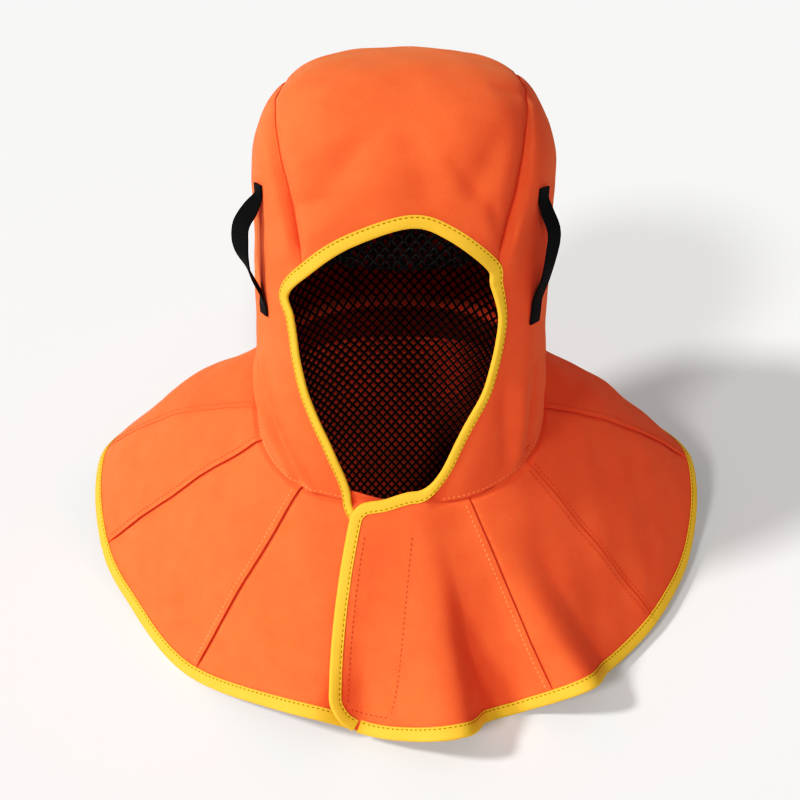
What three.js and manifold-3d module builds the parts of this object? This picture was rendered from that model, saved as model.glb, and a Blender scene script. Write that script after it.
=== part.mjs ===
// A flame-resistant welding hood: a head shell of three cotton panels, a gored cape with an overlapping
// front, yellow binding on every free edge, a net lining and two webbing loops. It stands on its hem.
// Millimetres, +Z up. The face opening looks towards -Y. Left and right are as seen from the front: left is -X.
import * as THREE from "three";
import { mergeVertices } from "three/addons/utils/BufferGeometryUtils.js";
import Module from "manifold-3d";

const wasm = await Module();
wasm.setup();

// Walls, tapes and gaps
const CLOTH = 1.5; // cotton wall
const SEAM_GAP = 0.3; // left between two panels that are sewn together
const TAPE_WIDTH = 10; // binding that shows on each side of an edge
const TAPE_WALL = 0.8;
const TAPE_CLEAR = 0.95; // between the binding and the cloth inside it
const FLAP_LIFT = 6.3; // outer face of the overlapping front above the front under it
const NET_WALL = 1;
const NET_INSET = 4.2; // net inside the outer face of the head
const WEBBING_WIDTH = 15;
const WEBBING_WALL = 1.5;

// Where the neck's middle stands over the middle of the floor under the hood, and the rise of the hem's cloth
// above the floor, which the binding takes up
const STAND = new THREE.Vector3(3.6, 22, 2.6);

// Head rings from neck to brow: where each meets the middle of the front and of the back, its half width,
// and how far the worn shape leans to +X
const HEAD_RINGS = [
  { level: 0, frontY: -108, frontZ: 150, backY: 108, backZ: 193, halfWidth: 121, lean: 0 },
  { level: 1, frontY: -98, frontZ: 204, backY: 137, backZ: 224, halfWidth: 121, lean: 0 },
  { level: 2, frontY: -84, frontZ: 262, backY: 162, backZ: 256, halfWidth: 121, lean: 1 },
  { level: 3, frontY: -66, frontZ: 325, backY: 181, backZ: 286, halfWidth: 121, lean: 2.5 },
  { level: 4, frontY: -43, frontZ: 394, backY: 192, backZ: 312, halfWidth: 120.5, lean: 3 },
];
const BROW_LEVEL = 4;
const CROWN_LEVEL = 5;
const CROWN_RISE = 92; // crown above the brow ring
const RING_POWER = 2.5; // squareness of a ring: 2 is an ellipse
const CROWN_POWER = 2.6; // squareness of the crown's profile

// Crown seams lie on two planes that spread upwards from the nape
const CROWN_SEAM = { halfWidthAtFloor: 5, spread: 0.2 };

// Face opening, seen along the tilt of the face: across, and up the face from the floor
const FACE_TILT = 15;
const FACE_OPENING = [
  { across: -40, up: 92 },
  { across: -41, up: 122 },
  { across: -53, up: 158 },
  { across: -71, up: 200 },
  { across: -80, up: 240 },
  { across: -84, up: 270 },
  { across: -87, up: 288 },
  { across: -67, up: 311 },
  { across: -38, up: 333 },
  { across: 6, up: 349 },
  { across: 36, up: 340 },
  { across: 67, up: 314 },
  { across: 71, up: 300 },
  { across: 77, up: 272 },
  { across: 72, up: 236 },
  { across: 65, up: 209 },
  { across: 50, up: 180 },
  { across: 35, up: 147 },
  { across: 22, up: 124 },
  { across: 20, up: 92 },
];

// Cape: how a line that leaves the neck at one angle from the front meets the hem at another, and how far it
// bulges on the way
const CAPE_LINES = [
  { neck: -180, hem: -180, bow: 8 },
  { neck: -130, hem: -141, bow: 16 },
  { neck: -105, hem: -122, bow: 26 },
  { neck: -85, hem: -104, bow: 16 },
  { neck: -69, hem: -85, bow: 4 },
  { neck: -41, hem: -47, bow: 3 },
  { neck: 0, hem: 0, bow: 4 },
  { neck: 28, hem: 32, bow: 4 },
  { neck: 57, hem: 64, bow: 3 },
  { neck: 85, hem: 103, bow: 10 },
  { neck: 105, hem: 122, bow: 20 },
  { neck: 130, hem: 141, bow: 14 },
  { neck: 180, hem: 180, bow: 8 },
];

// Hem by angle from the front: reach and rise of the plain cape, and how far a wave throws the edge out and up
const HEM = [
  { angle: -180, reach: 206, rise: 0, out: 0, up: 0 },
  { angle: -160, reach: 211, rise: 0, out: 0, up: 0 },
  { angle: -140, reach: 232, rise: 4, out: 0, up: 0 },
  { angle: -122, reach: 268, rise: 28, out: 0, up: 0 },
  { angle: -109, reach: 288, rise: 43, out: 0, up: 0 },
  { angle: -102, reach: 292, rise: 42, out: 0, up: 0 },
  { angle: -84, reach: 273, rise: 11, out: 0, up: 0 },
  { angle: -69, reach: 253, rise: 4, out: 0, up: 0 },
  { angle: -50, reach: 242, rise: 0, out: 0, up: 0 },
  { angle: -30, reach: 234, rise: 0, out: 0, up: 17 },
  { angle: -17, reach: 231, rise: 0, out: 6, up: 29 },
  { angle: -8, reach: 229, rise: 0, out: -3, up: 9 },
  { angle: 0, reach: 228, rise: 0, out: 7, up: 14 },
  { angle: 9, reach: 228, rise: 0, out: 21, up: 31 },
  { angle: 18, reach: 229, rise: 0, out: -9, up: 2 },
  { angle: 27, reach: 231, rise: 0, out: -6, up: 4 },
  { angle: 37, reach: 235, rise: 0, out: 19, up: 35 },
  { angle: 47, reach: 240, rise: 0, out: 0, up: 10 },
  { angle: 69, reach: 252, rise: 4, out: 0, up: 4 },
  { angle: 84, reach: 267, rise: 11, out: 0, up: 0 },
  { angle: 102, reach: 285, rise: 38, out: 0, up: 0 },
  { angle: 109, reach: 283, rise: 40, out: 0, up: 0 },
  { angle: 122, reach: 266, rise: 28, out: 0, up: 0 },
  { angle: 140, reach: 232, rise: 4, out: 0, up: 0 },
  { angle: 160, reach: 211, rise: 0, out: 0, up: 0 },
  { angle: 180, reach: 206, rise: 0, out: 0, up: 0 },
];
const WAVE_FADE = 2.2; // how fast a wave dies away from the hem to the neck
const BOW = { out: 0.6, up: 0.8 }; // the way the cape bulges

// Gores between their seams, as angles at the neck, in order round the hem from under the flap
const FRONT_LEFT = { from: -41, to: 9, columns: 15 };
const FRONT_RIGHT = { to: 28, columns: 20 };
const GORES = [
  { name: "cape_left_mid", from: -69, to: -41, columns: 8 },
  { name: "cape_left_side", from: -85, to: -69, columns: 4 },
  { name: "cape_back_left", from: -180, to: -85, columns: 13 },
  { name: "cape_back_right", from: 85, to: 180, columns: 13 },
  { name: "cape_right_side", from: 57, to: 85, columns: 7 },
  { name: "cape_right_mid", from: 28, to: 57, columns: 9 },
];
const FLAP_EDGE = { neck: -18, hem: -12.5, topRound: 14, bottomRound: 20 };
const FLAP_BLEND = { full: 6, none: 26 }; // angles between which the flap comes down to the cape
const FLAP_TOP_END = 11; // angle at the neck where the face binding takes over
const CORNER_GAP = 0.9; // angle between the ends of the hem binding and the flap binding
const CAPE_ROWS = 7;
const HEM_BAND = 0.055; // share of the cape that its hem binding covers

// Fastening tape between the two fronts, under the stitched rectangle
const CLOSURE = { fromNeck: -13, fromHem: -8, toNeck: 2, toHem: 0, fromRow: 0.13, toRow: 0.92, off: 1.2, wall: 1.1 };

// Webbing loops: the turn of each on the head, and how far it stands off between its two sewn ends
const LOOPS = [
  { name: "loop_left", turn: -58, slack: 1 },
  { name: "loop_right", turn: 52, slack: 0.4 },
];
const LOOP_WAY = [
  { level: 4, off: 0 },
  { level: 3.86, off: 0.4 },
  { level: 3.7, off: 8 },
  { level: 3.5, off: 17 },
  { level: 3.25, off: 17 },
  { level: 2.9, off: 10 },
  { level: 2.62, off: 1.5 },
  { level: 2.46, off: 0.2 },
  { level: 2.3, off: 0 },
];

// Linings: the net bag lies along the wall from the neck to above the brow. Its roof hangs below the crown, with one
// fold behind the brow, and at the back it hangs on below the neck to a free edge just over the floor.
const BAG = { wallFrom: 0.12, wallTo: 3.86, roofDrop: 34, foldDrop: 44, foldBack: 14, foldWidth: 9 };
const BAG_EDGE = { halfWidth: 104, frontY: -95, frontZ: 146, backY: 50, backZ: 12 };
const NET_GAPS = { rows: 6, columns: 4, pitch: 34, halfSize: 14, lowest: 0.18, slope: 72, depth: 40 };
// Cloth that hangs behind the net at the back of the neck
const NECK_LINING = { off: 3.5, wall: 1.2, fromTurn: 100, toTurn: 260, fromRow: 0.04, toRow: 0.8 };

const COLOURS = { orange: 0xf2602a, yellow: 0xf2c230, black: 0x161616 };
const ROUGHNESS = { cotton: 0.85, tape: 0.7, webbing: 0.6, net: 0.5 };

// Tables and curves

// A column of a table at a place between its rows, on a smooth curve through them
function smooth(rows, by, key, place) {
  let i = 0;
  while (i < rows.length - 2 && place > rows[i + 1][by]) i += 1;
  const slope = (n) => {
    const before = rows[Math.max(n - 1, 0)];
    const after = rows[Math.min(n + 1, rows.length - 1)];
    return (after[key] - before[key]) / (after[by] - before[by]);
  };
  const span = rows[i + 1][by] - rows[i][by];
  const t = (place - rows[i][by]) / span;
  const rise = rows[i + 1][key] - rows[i][key];
  const bend = t * (1 - t) * ((1 - t) * (slope(i) * span - rise) - t * (slope(i + 1) * span - rise));
  return rows[i][key] + rise * t + bend;
}

const radians = THREE.MathUtils.degToRad;
const spaced = (from, to, count) => Array.from({ length: count + 1 }, (_, i) => from + ((to - from) * i) / count);

// Head

// The ring of the head at a level: its middle, its axes and its half sizes
function headRing(level) {
  const wall = Math.min(level, BROW_LEVEL);
  const at = (key) => smooth(HEAD_RINGS, "level", key, wall);
  const front = new THREE.Vector3(0, at("frontY"), at("frontZ"));
  const back = new THREE.Vector3(0, at("backY"), at("backZ"));
  const towardsBack = back.clone().sub(front).normalize();
  const upwards = new THREE.Vector3(1, 0, 0).cross(towardsBack);
  const middle = front.clone().lerp(back, 0.5);
  middle.x = at("lean");
  const climb = THREE.MathUtils.clamp(level - BROW_LEVEL, 0, 1) * (Math.PI / 2);
  const shrink = Math.max(Math.cos(climb), 0) ** (2 / CROWN_POWER);
  const lift = CROWN_RISE * Math.sin(climb) ** (2 / CROWN_POWER);
  return {
    middle: middle.addScaledVector(upwards, lift),
    towardsBack,
    upwards,
    halfDepth: (front.distanceTo(back) / 2) * shrink,
    halfWidth: at("halfWidth") * shrink,
  };
}

// A point on the head's outer face: turn in degrees from the front, positive towards +X
function headPoint(turn, level) {
  const ring = headRing(level);
  const point = ring.middle.clone();
  if (ring.halfWidth < 1e-6) return point;
  const side = Math.sin(radians(turn));
  const ahead = Math.cos(radians(turn));
  const size = Math.abs(side / ring.halfWidth) ** RING_POWER + Math.abs(ahead / ring.halfDepth) ** RING_POWER;
  const radius = size ** (-1 / RING_POWER);
  point.x += radius * side;
  return point.addScaledVector(ring.towardsBack, -radius * ahead);
}

function normalOf(surface, u, v, du, dv) {
  const across = surface(u + du, v).sub(surface(u - du, v));
  const along = surface(u, v + dv).sub(surface(u, v - dv));
  return across.cross(along).normalize();
}

function headNormal(turn, level) {
  if (level > CROWN_LEVEL - 0.02) return headRing(level).upwards;
  return normalOf(headPoint, turn, Math.max(level, 0.01), 0.2, 0.01);
}

// The face opening's frame, and the place on the head that lies behind a point of it
const FACE_UP = new THREE.Vector3(0, Math.sin(radians(FACE_TILT)), Math.cos(radians(FACE_TILT)));
const FACE_IN = new THREE.Vector3(0, Math.cos(radians(FACE_TILT)), -Math.sin(radians(FACE_TILT)));

function turnAt(across, level) {
  const ring = headRing(level);
  const side = across - ring.middle.x;
  const share = Math.min(Math.abs(side) / ring.halfWidth, 1);
  const ahead = ring.halfDepth * (1 - share ** RING_POWER) ** (1 / RING_POWER);
  return THREE.MathUtils.radToDeg(Math.atan2(side, ahead));
}

function placeOnFace(across, up) {
  let low = 0;
  let high = CROWN_LEVEL - 0.05;
  for (let step = 0; step < 40; step += 1) {
    const level = (low + high) / 2;
    if (headPoint(turnAt(across, level), level).dot(FACE_UP) < up) low = level;
    else high = level;
  }
  return { turn: turnAt(across, low), level: low };
}

// Cape

const hemAngle = (neckAngle) => smooth(CAPE_LINES, "neck", "hem", neckAngle);

// A point of the cape's outer face: angle at the neck, and row from 0 at the neck to 1 at the hem
function capePoint(neckAngle, row) {
  const angle = hemAngle(neckAngle);
  const at = (key) => smooth(HEM, "angle", key, angle);
  const outwards = new THREE.Vector3(Math.sin(radians(angle)), -Math.cos(radians(angle)), 0);
  const neck = headPoint(neckAngle, 0);
  neck.z -= SEAM_GAP;
  const hem = outwards.clone().multiplyScalar(at("reach"));
  hem.z = at("rise");
  const fade = Math.max(row, 0) ** WAVE_FADE;
  const bow = smooth(CAPE_LINES, "neck", "bow", neckAngle) * 4 * row * (1 - row);
  const point = neck.lerp(hem, row).addScaledVector(outwards, at("out") * fade + bow * BOW.out);
  point.z += at("up") * fade + bow * BOW.up;
  return point;
}

function capeNormal(neckAngle, row) {
  return normalOf(capePoint, neckAngle, row, 0.2, -0.01);
}

function flapLift(neckAngle) {
  return FLAP_LIFT * (1 - THREE.MathUtils.smoothstep(neckAngle, FLAP_BLEND.full, FLAP_BLEND.none));
}

// The angle of the flap's free edge at a row, with its two round corners
function flapEdge(row) {
  const edge = THREE.MathUtils.lerp(FLAP_EDGE.neck, FLAP_EDGE.hem, row);
  const length = capePoint(edge, 0).distanceTo(capePoint(edge, 1));
  const perDegree = capePoint(edge + 0.5, row).distanceTo(capePoint(edge - 0.5, row));
  const inset = (round, distance) => {
    if (distance >= round) return 0;
    return round - Math.sqrt(round ** 2 - (round - distance) ** 2);
  };
  const top = inset(FLAP_EDGE.topRound, row * length);
  const bottom = inset(FLAP_EDGE.bottomRound, (1 - row) * length);
  return edge + (top + bottom) / perDegree;
}

// Rows of the flap, close together round its corners
function flapRows() {
  const length = capePoint(FLAP_EDGE.neck, 0).distanceTo(capePoint(FLAP_EDGE.hem, 1));
  const arc = (round) => [0, 0.13, 0.5, 1].map((share) => (share * round) / length);
  const top = arc(FLAP_EDGE.topRound);
  const bottom = arc(FLAP_EDGE.bottomRound).map((row) => 1 - row);
  const middle = spaced(top.at(-1), bottom.at(-1), CAPE_ROWS).slice(1, -1);
  return [...top, ...middle, ...bottom.reverse()];
}

// Solids

// A closed body from points and triangles, with its faces turned outwards
function geometryOf(points, triangles) {
  const inside = (sum, [a, b, c]) => sum + points[a].dot(points[b].clone().cross(points[c]));
  if (triangles.reduce(inside, 0) < 0) triangles.forEach((triangle) => triangle.reverse());
  const geometry = new THREE.BufferGeometry();
  geometry.setAttribute("position", new THREE.Float32BufferAttribute(points.flatMap((p) => p.toArray()), 3));
  geometry.setIndex(triangles.flat());
  return geometry;
}

// A closed wall between two grids of points with the same rows and columns; the first faces out
function wallOf(outer, inner, closedRound) {
  const rows = outer.length;
  const columns = outer[0].length;
  const points = [...outer.flat(), ...inner.flat()];
  const at = (side, row, column) => (side * rows + row) * columns + (column % columns);
  const triangles = [];
  const quad = (a, b, c, d) => triangles.push([a, b, c], [a, c, d]);
  const steps = closedRound ? columns : columns - 1;
  for (let r = 0; r < rows - 1; r += 1) {
    for (let c = 0; c < steps; c += 1) {
      quad(at(0, r, c), at(0, r, c + 1), at(0, r + 1, c + 1), at(0, r + 1, c));
      quad(at(1, r, c), at(1, r + 1, c), at(1, r + 1, c + 1), at(1, r, c + 1));
    }
  }
  for (let c = 0; c < steps; c += 1) {
    quad(at(0, 0, c), at(1, 0, c), at(1, 0, c + 1), at(0, 0, c + 1));
    quad(at(0, rows - 1, c), at(0, rows - 1, c + 1), at(1, rows - 1, c + 1), at(1, rows - 1, c));
  }
  if (!closedRound) {
    const last = columns - 1;
    for (let r = 0; r < rows - 1; r += 1) {
      quad(at(0, r, 0), at(0, r + 1, 0), at(1, r + 1, 0), at(1, r, 0));
      quad(at(0, r, last), at(1, r, last), at(1, r + 1, last), at(0, r + 1, last));
    }
  }
  return geometryOf(points, triangles);
}

function solidOf(geometry) {
  const bare = geometry.index ? geometry.toNonIndexed() : geometry.clone();
  for (const name of Object.keys(bare.attributes)) {
    if (name !== "position") bare.deleteAttribute(name);
  }
  const merged = mergeVertices(bare, 1e-4);
  const triVerts = [];
  for (let i = 0; i < merged.index.count; i += 3) {
    const [a, b, c] = [0, 1, 2].map((k) => merged.index.getX(i + k));
    if (a !== b && b !== c && a !== c) triVerts.push(a, b, c);
  }
  const mesh = new wasm.Mesh({
    numProp: 3,
    vertProperties: new Float32Array(merged.getAttribute("position").array),
    triVerts: new Uint32Array(triVerts),
  });
  return new wasm.Manifold(mesh);
}

function geometryOfSolid(solid) {
  const mesh = solid.getMesh();
  const geometry = new THREE.BufferGeometry();
  geometry.setAttribute("position", new THREE.BufferAttribute(new Float32Array(mesh.vertProperties), 3));
  geometry.setIndex(new THREE.BufferAttribute(new Uint32Array(mesh.triVerts), 1));
  return geometry;
}

// A strip swept along frames (point, normal out of the cloth, inwards over the cloth), with a closed section
function sweep(frames, section) {
  const points = frames.flatMap(({ point, normal, inwards }) =>
    section.map(([over, out]) => point.clone().addScaledVector(inwards, over).addScaledVector(normal, out)),
  );
  const sides = section.length;
  const triangles = [];
  for (let f = 0; f < frames.length - 1; f += 1) {
    for (let s = 0; s < sides; s += 1) {
      const a = f * sides + s;
      const b = f * sides + ((s + 1) % sides);
      triangles.push([a, a + sides, b + sides], [a, b + sides, b]);
    }
  }
  const contour = section.map(([over, out]) => new THREE.Vector2(over, out));
  const last = (frames.length - 1) * sides;
  for (const [a, b, c] of THREE.ShapeUtils.triangulateShape(contour, [])) {
    triangles.push([a, b, c], [last + a, last + c, last + b]);
  }
  return geometryOf(points, triangles);
}

// The point of a surface that lies some way off in a direction along it
function steppedOn(surface, u, v, way) {
  const [du, dv] = [0.2, 0.01];
  const across = surface(u + du, v).sub(surface(u - du, v)).divideScalar(2 * du);
  const along = surface(u, v + dv).sub(surface(u, v - dv)).divideScalar(2 * dv);
  const [aa, ab, bb] = [across.dot(across), across.dot(along), along.dot(along)];
  const [aw, bw] = [across.dot(way), along.dot(way)];
  const scale = aa * bb - ab * ab;
  return surface(u + (aw * bb - bw * ab) / scale, v + (bw * aa - aw * ab) / scale);
}

// Frames along an edge of a surface; side 1 puts the cloth on the left of the way, -1 on the right
function framesAlong(stops, side) {
  return stops.map(({ surface, u, v, lift, point, normal }, i) => {
    const before = stops[Math.max(i - 1, 0)].point;
    const after = stops[Math.min(i + 1, stops.length - 1)].point;
    const tangent = after.clone().sub(before).normalize();
    const level = normal.clone().cross(tangent).multiplyScalar(side).normalize();
    const inner = steppedOn(surface, u, v, level.clone().multiplyScalar(TAPE_WIDTH)).addScaledVector(normal, lift);
    const inwards = inner.sub(point);
    inwards.addScaledVector(tangent, -inwards.dot(tangent)).normalize();
    return { point, normal: tangent.cross(inwards).multiplyScalar(side), inwards };
  });
}

// Binding folded over a cloth edge: a channel that is open over the cloth
const TAPE_SECTION = [
  [TAPE_WIDTH, TAPE_CLEAR],
  [TAPE_WIDTH, TAPE_CLEAR + TAPE_WALL],
  [-TAPE_CLEAR - TAPE_WALL, TAPE_CLEAR + TAPE_WALL],
  [-TAPE_CLEAR - TAPE_WALL, -CLOTH - TAPE_CLEAR - TAPE_WALL],
  [TAPE_WIDTH, -CLOTH - TAPE_CLEAR - TAPE_WALL],
  [TAPE_WIDTH, -CLOTH - TAPE_CLEAR],
  [-TAPE_CLEAR, -CLOTH - TAPE_CLEAR],
  [-TAPE_CLEAR, TAPE_CLEAR],
];

const hood = new THREE.Group();
hood.position.copy(STAND);

function addPiece(name, geometry, colour, roughness) {
  const material = new THREE.MeshStandardMaterial({ color: colour, roughness, metalness: 0 });
  const mesh = new THREE.Mesh(geometry, material);
  mesh.name = name;
  hood.add(mesh);
}

// Head panels: one shell, cut by the face opening and parted along the crown seams
const HEAD_COLUMNS = 36;
const HEAD_LEVELS = [0, 0.8, 1.6, 2.4, 3, 3.5, 4, 4.25, 4.47, 4.66, 4.84, 5];

// A wall round all turns of a surface: its outer face lies inset from it
function shellOf(pointAt, normalAt, inset, wall, rows, columns) {
  const turns = spaced(-180, 180, columns).slice(0, -1);
  const grid = (depth) =>
    rows.map((row) => turns.map((turn) => pointAt(turn, row).addScaledVector(normalAt(turn, row), -depth)));
  return solidOf(wallOf(grid(inset), grid(inset + wall), true));
}

// The face opening's outline as short straight steps, which its binding follows
const STEPS_PER_ROW = 3;

function faceOutline() {
  const rows = FACE_OPENING.map(({ across, up }) => new THREE.Vector2(across, up));
  return new THREE.SplineCurve(rows).getPoints((rows.length - 1) * STEPS_PER_ROW);
}

// The solid that cuts the face opening, from the middle of the neck forwards
function faceCutter() {
  const depth = 200;
  const geometry = new THREE.ExtrudeGeometry(new THREE.Shape(faceOutline()), { depth, bevelEnabled: false });
  const basis = new THREE.Matrix4().makeBasis(new THREE.Vector3(1, 0, 0), FACE_UP, FACE_IN.clone().negate());
  geometry.applyMatrix4(basis);
  return solidOf(geometry);
}

// The wedge between the crown seams, drawn in by half a seam gap, or let out by it
function crownWedge(letOut) {
  const top = 600;
  const front = -80;
  const half = (z) => CROWN_SEAM.halfWidthAtFloor + CROWN_SEAM.spread * z + letOut;
  const outline = new THREE.Shape();
  outline.moveTo(-half(0), 0);
  outline.lineTo(half(0), 0);
  outline.lineTo(half(top), top);
  outline.lineTo(-half(top), top);
  outline.closePath();
  const length = 900;
  const geometry = new THREE.ExtrudeGeometry(outline, { depth: length, bevelEnabled: false });
  geometry.rotateX(Math.PI / 2);
  geometry.translate(0, length + front, 0);
  return solidOf(geometry);
}

const headShell = shellOf(headPoint, headNormal, 0, CLOTH, HEAD_LEVELS, HEAD_COLUMNS);
const openShell = headShell.subtract(faceCutter());
const crown = openShell.intersect(crownWedge(-SEAM_GAP / 2));
const sides = openShell.subtract(crownWedge(SEAM_GAP / 2)).decompose();
addPiece("crown_panel", geometryOfSolid(crown), COLOURS.orange, ROUGHNESS.cotton);
for (const side of sides) {
  const box = side.boundingBox();
  const name = box.max[0] + box.min[0] < 0 ? "side_panel_left" : "side_panel_right";
  addPiece(name, geometryOfSolid(side), COLOURS.orange, ROUGHNESS.cotton);
}

// Cape gores
function goreOf(anglesAt, rows, liftAt) {
  const grid = (depth) =>
    rows.map((row) =>
      anglesAt(row).map((angle) =>
        capePoint(angle, row).addScaledVector(capeNormal(angle, row), liftAt(angle) - depth),
      ),
    );
  return wallOf(grid(0).reverse(), grid(CLOTH).reverse(), false);
}

// An edge moved to one side by half a seam gap
function seamEdge(angle, towards, row) {
  const perDegree = capePoint(angle + 0.5, row).distanceTo(capePoint(angle - 0.5, row));
  return angle + (towards * SEAM_GAP) / 2 / perDegree;
}

// Columns of the overlapping front: those near its free edge follow the round corners
function frontRightAngles(row) {
  const plain = THREE.MathUtils.lerp(FLAP_EDGE.neck, FLAP_EDGE.hem, row);
  const corner = flapEdge(row) - plain;
  const share = (angle) => (FRONT_RIGHT.to - angle) / (FRONT_RIGHT.to - plain);
  const angles = spaced(plain, seamEdge(FRONT_RIGHT.to, -1, row), FRONT_RIGHT.columns);
  return angles.map((angle) => angle + corner * share(angle) ** 3);
}

const capeRows = [...spaced(0, 1 - HEM_BAND, CAPE_ROWS - 1), 1];
const flat = () => 0;
for (const { name, from, to, columns } of GORES) {
  const angles = (row) => spaced(seamEdge(from, 1, row), seamEdge(to, -1, row), columns);
  addPiece(name, goreOf(angles, capeRows, flat), COLOURS.orange, ROUGHNESS.cotton);
}
const frontLeftAngles = (row) => spaced(seamEdge(FRONT_LEFT.from, 1, row), FRONT_LEFT.to, FRONT_LEFT.columns);
const frontLeft = goreOf(frontLeftAngles, capeRows, flat);
addPiece("cape_front_left", frontLeft, COLOURS.orange, ROUGHNESS.cotton);
const frontRight = goreOf(frontRightAngles, flapRows(), flapLift);
addPiece("cape_front_right", frontRight, COLOURS.orange, ROUGHNESS.cotton);

// Bindings
function stopOn(surface, normalAt, u, v, lift) {
  const normal = normalAt(u, v);
  return { surface, u, v, lift, point: surface(u, v).addScaledVector(normal, lift), normal };
}

function faceStops() {
  const stops = [];
  for (const spot of faceOutline()) {
    const { turn, level } = placeOnFace(spot.x, spot.y);
    if (level > 0.03) stops.push(stopOn(headPoint, headNormal, turn, level, 0));
  }
  return stops;
}

const capeStop = (angle, row, lift) => stopOn(capePoint, capeNormal, angle, row, lift);

function flapStops() {
  const topEdge = spaced(FLAP_TOP_END, flapEdge(0), 8).slice(0, -1);
  const stops = topEdge.map((angle) => capeStop(angle, 0, flapLift(angle)));
  for (const row of flapRows()) stops.push(capeStop(flapEdge(row), row, FLAP_LIFT));
  return stops;
}

// The hem's stops are the gores' own columns, from under the flap round the back to the flap's lower corner
function hemStops() {
  const run = ({ from, to, columns }) => spaced(to, from, columns).slice(0, -1);
  const plain = [FRONT_LEFT, ...GORES].flatMap(run).map((angle) => capeStop(angle, 1, 0));
  const over = frontRightAngles(1).reverse();
  over[over.length - 1] += CORNER_GAP;
  return [...plain, ...over.map((angle) => capeStop(angle, 1, flapLift(angle)))];
}

addPiece("face_binding", sweep(framesAlong(faceStops(), 1), TAPE_SECTION), COLOURS.yellow, ROUGHNESS.tape);
addPiece("flap_binding", sweep(framesAlong(flapStops(), 1), TAPE_SECTION), COLOURS.yellow, ROUGHNESS.tape);
const hemBinding = sweep(framesAlong(hemStops(), -1), TAPE_SECTION);
const hemPoints = hemBinding.getAttribute("position");
for (let i = 0; i < hemPoints.count; i += 1) hemPoints.setZ(i, Math.max(hemPoints.getZ(i), -STAND.z)); // on the floor
addPiece("hem_binding", hemBinding, COLOURS.yellow, ROUGHNESS.tape);

// Fastening tape
function closureGrid(off) {
  return spaced(CLOSURE.toRow, CLOSURE.fromRow, 6).map((row) => {
    const from = THREE.MathUtils.lerp(CLOSURE.fromNeck, CLOSURE.fromHem, row);
    const to = THREE.MathUtils.lerp(CLOSURE.toNeck, CLOSURE.toHem, row);
    const point = (angle) => capePoint(angle, row).addScaledVector(capeNormal(angle, row), off);
    return spaced(from, to, 5).map(point);
  });
}
const closure = wallOf(closureGrid(CLOSURE.off + CLOSURE.wall), closureGrid(CLOSURE.off), false);
addPiece("closure_tape", closure, COLOURS.orange, ROUGHNESS.cotton);

// Webbing loops
const WEBBING_SECTION = [
  [WEBBING_WIDTH / 2, SEAM_GAP],
  [WEBBING_WIDTH / 2, SEAM_GAP + WEBBING_WALL],
  [-WEBBING_WIDTH / 2, SEAM_GAP + WEBBING_WALL],
  [-WEBBING_WIDTH / 2, SEAM_GAP],
];
for (const { name, turn, slack } of LOOPS) {
  const knots = LOOP_WAY.map(({ level, off }) =>
    headPoint(turn, level).addScaledVector(headNormal(turn, level), off * slack),
  );
  const middle = headNormal(turn, (LOOP_WAY[0].level + LOOP_WAY.at(-1).level) / 2);
  const way = new THREE.CatmullRomCurve3(knots);
  const frames = spaced(0, 1, 20).map((share) => {
    const tangent = way.getTangentAt(share);
    const inwards = middle.clone().cross(tangent).normalize();
    return { point: way.getPointAt(share), normal: tangent.cross(inwards), inwards };
  });
  addPiece(name, sweep(frames, WEBBING_SECTION), COLOURS.black, ROUGHNESS.webbing);
}

// Linings
function bagEdge(turn) {
  const { halfWidth, frontY, frontZ, backY, backZ } = BAG_EDGE;
  const ahead = (1 + Math.cos(radians(turn))) / 2;
  const y = THREE.MathUtils.lerp(backY, frontY, ahead);
  return new THREE.Vector3(halfWidth * Math.sin(radians(turn)), y, THREE.MathUtils.lerp(backZ, frontZ, ahead));
}

// A point of the bag: row 0 is its free edge, 1 and 2 the ends of its way along the wall, 3 the roof's middle
function bagPoint(turn, row) {
  if (row <= 1) return bagEdge(turn).lerp(headPoint(turn, BAG.wallFrom), row);
  const level = THREE.MathUtils.lerp(BAG.wallFrom, BAG.wallTo, Math.min(row - 1, 1));
  return headPoint(turn, level).lerp(headRing(BAG.wallTo).middle, Math.max(row - 2, 0));
}

function bagNormal(turn, row) {
  if (row > 2.9) return headRing(BAG.wallTo).upwards;
  if (row >= 1 && row <= 2) return headNormal(turn, THREE.MathUtils.lerp(BAG.wallFrom, BAG.wallTo, row - 1));
  return normalOf(bagPoint, turn, Math.max(row, 0.02), 0.2, 0.01);
}

// How far the roof of the bag hangs below its rim
function roofDrop(point) {
  const ring = headRing(BAG.wallTo);
  const fromMiddle = point.clone().sub(ring.middle);
  const back = ring.halfDepth + fromMiddle.dot(ring.towardsBack);
  const [belowRim, nearRim] = [-30, -6];
  const roof = THREE.MathUtils.smoothstep(fromMiddle.dot(ring.upwards), belowRim, nearRim);
  const inwards = 1 - (1 - back / ring.halfDepth) ** 2 - (fromMiddle.x / ring.halfWidth) ** 2;
  const fold = Math.exp(-(((back - BAG.foldBack) / BAG.foldWidth) ** 2)) * BAG.foldDrop;
  const offWall = THREE.MathUtils.smoothstep(back, NET_INSET, BAG.foldBack);
  return roof * (Math.max(inwards, 0) * BAG.roofDrop + fold * offWall);
}

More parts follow.
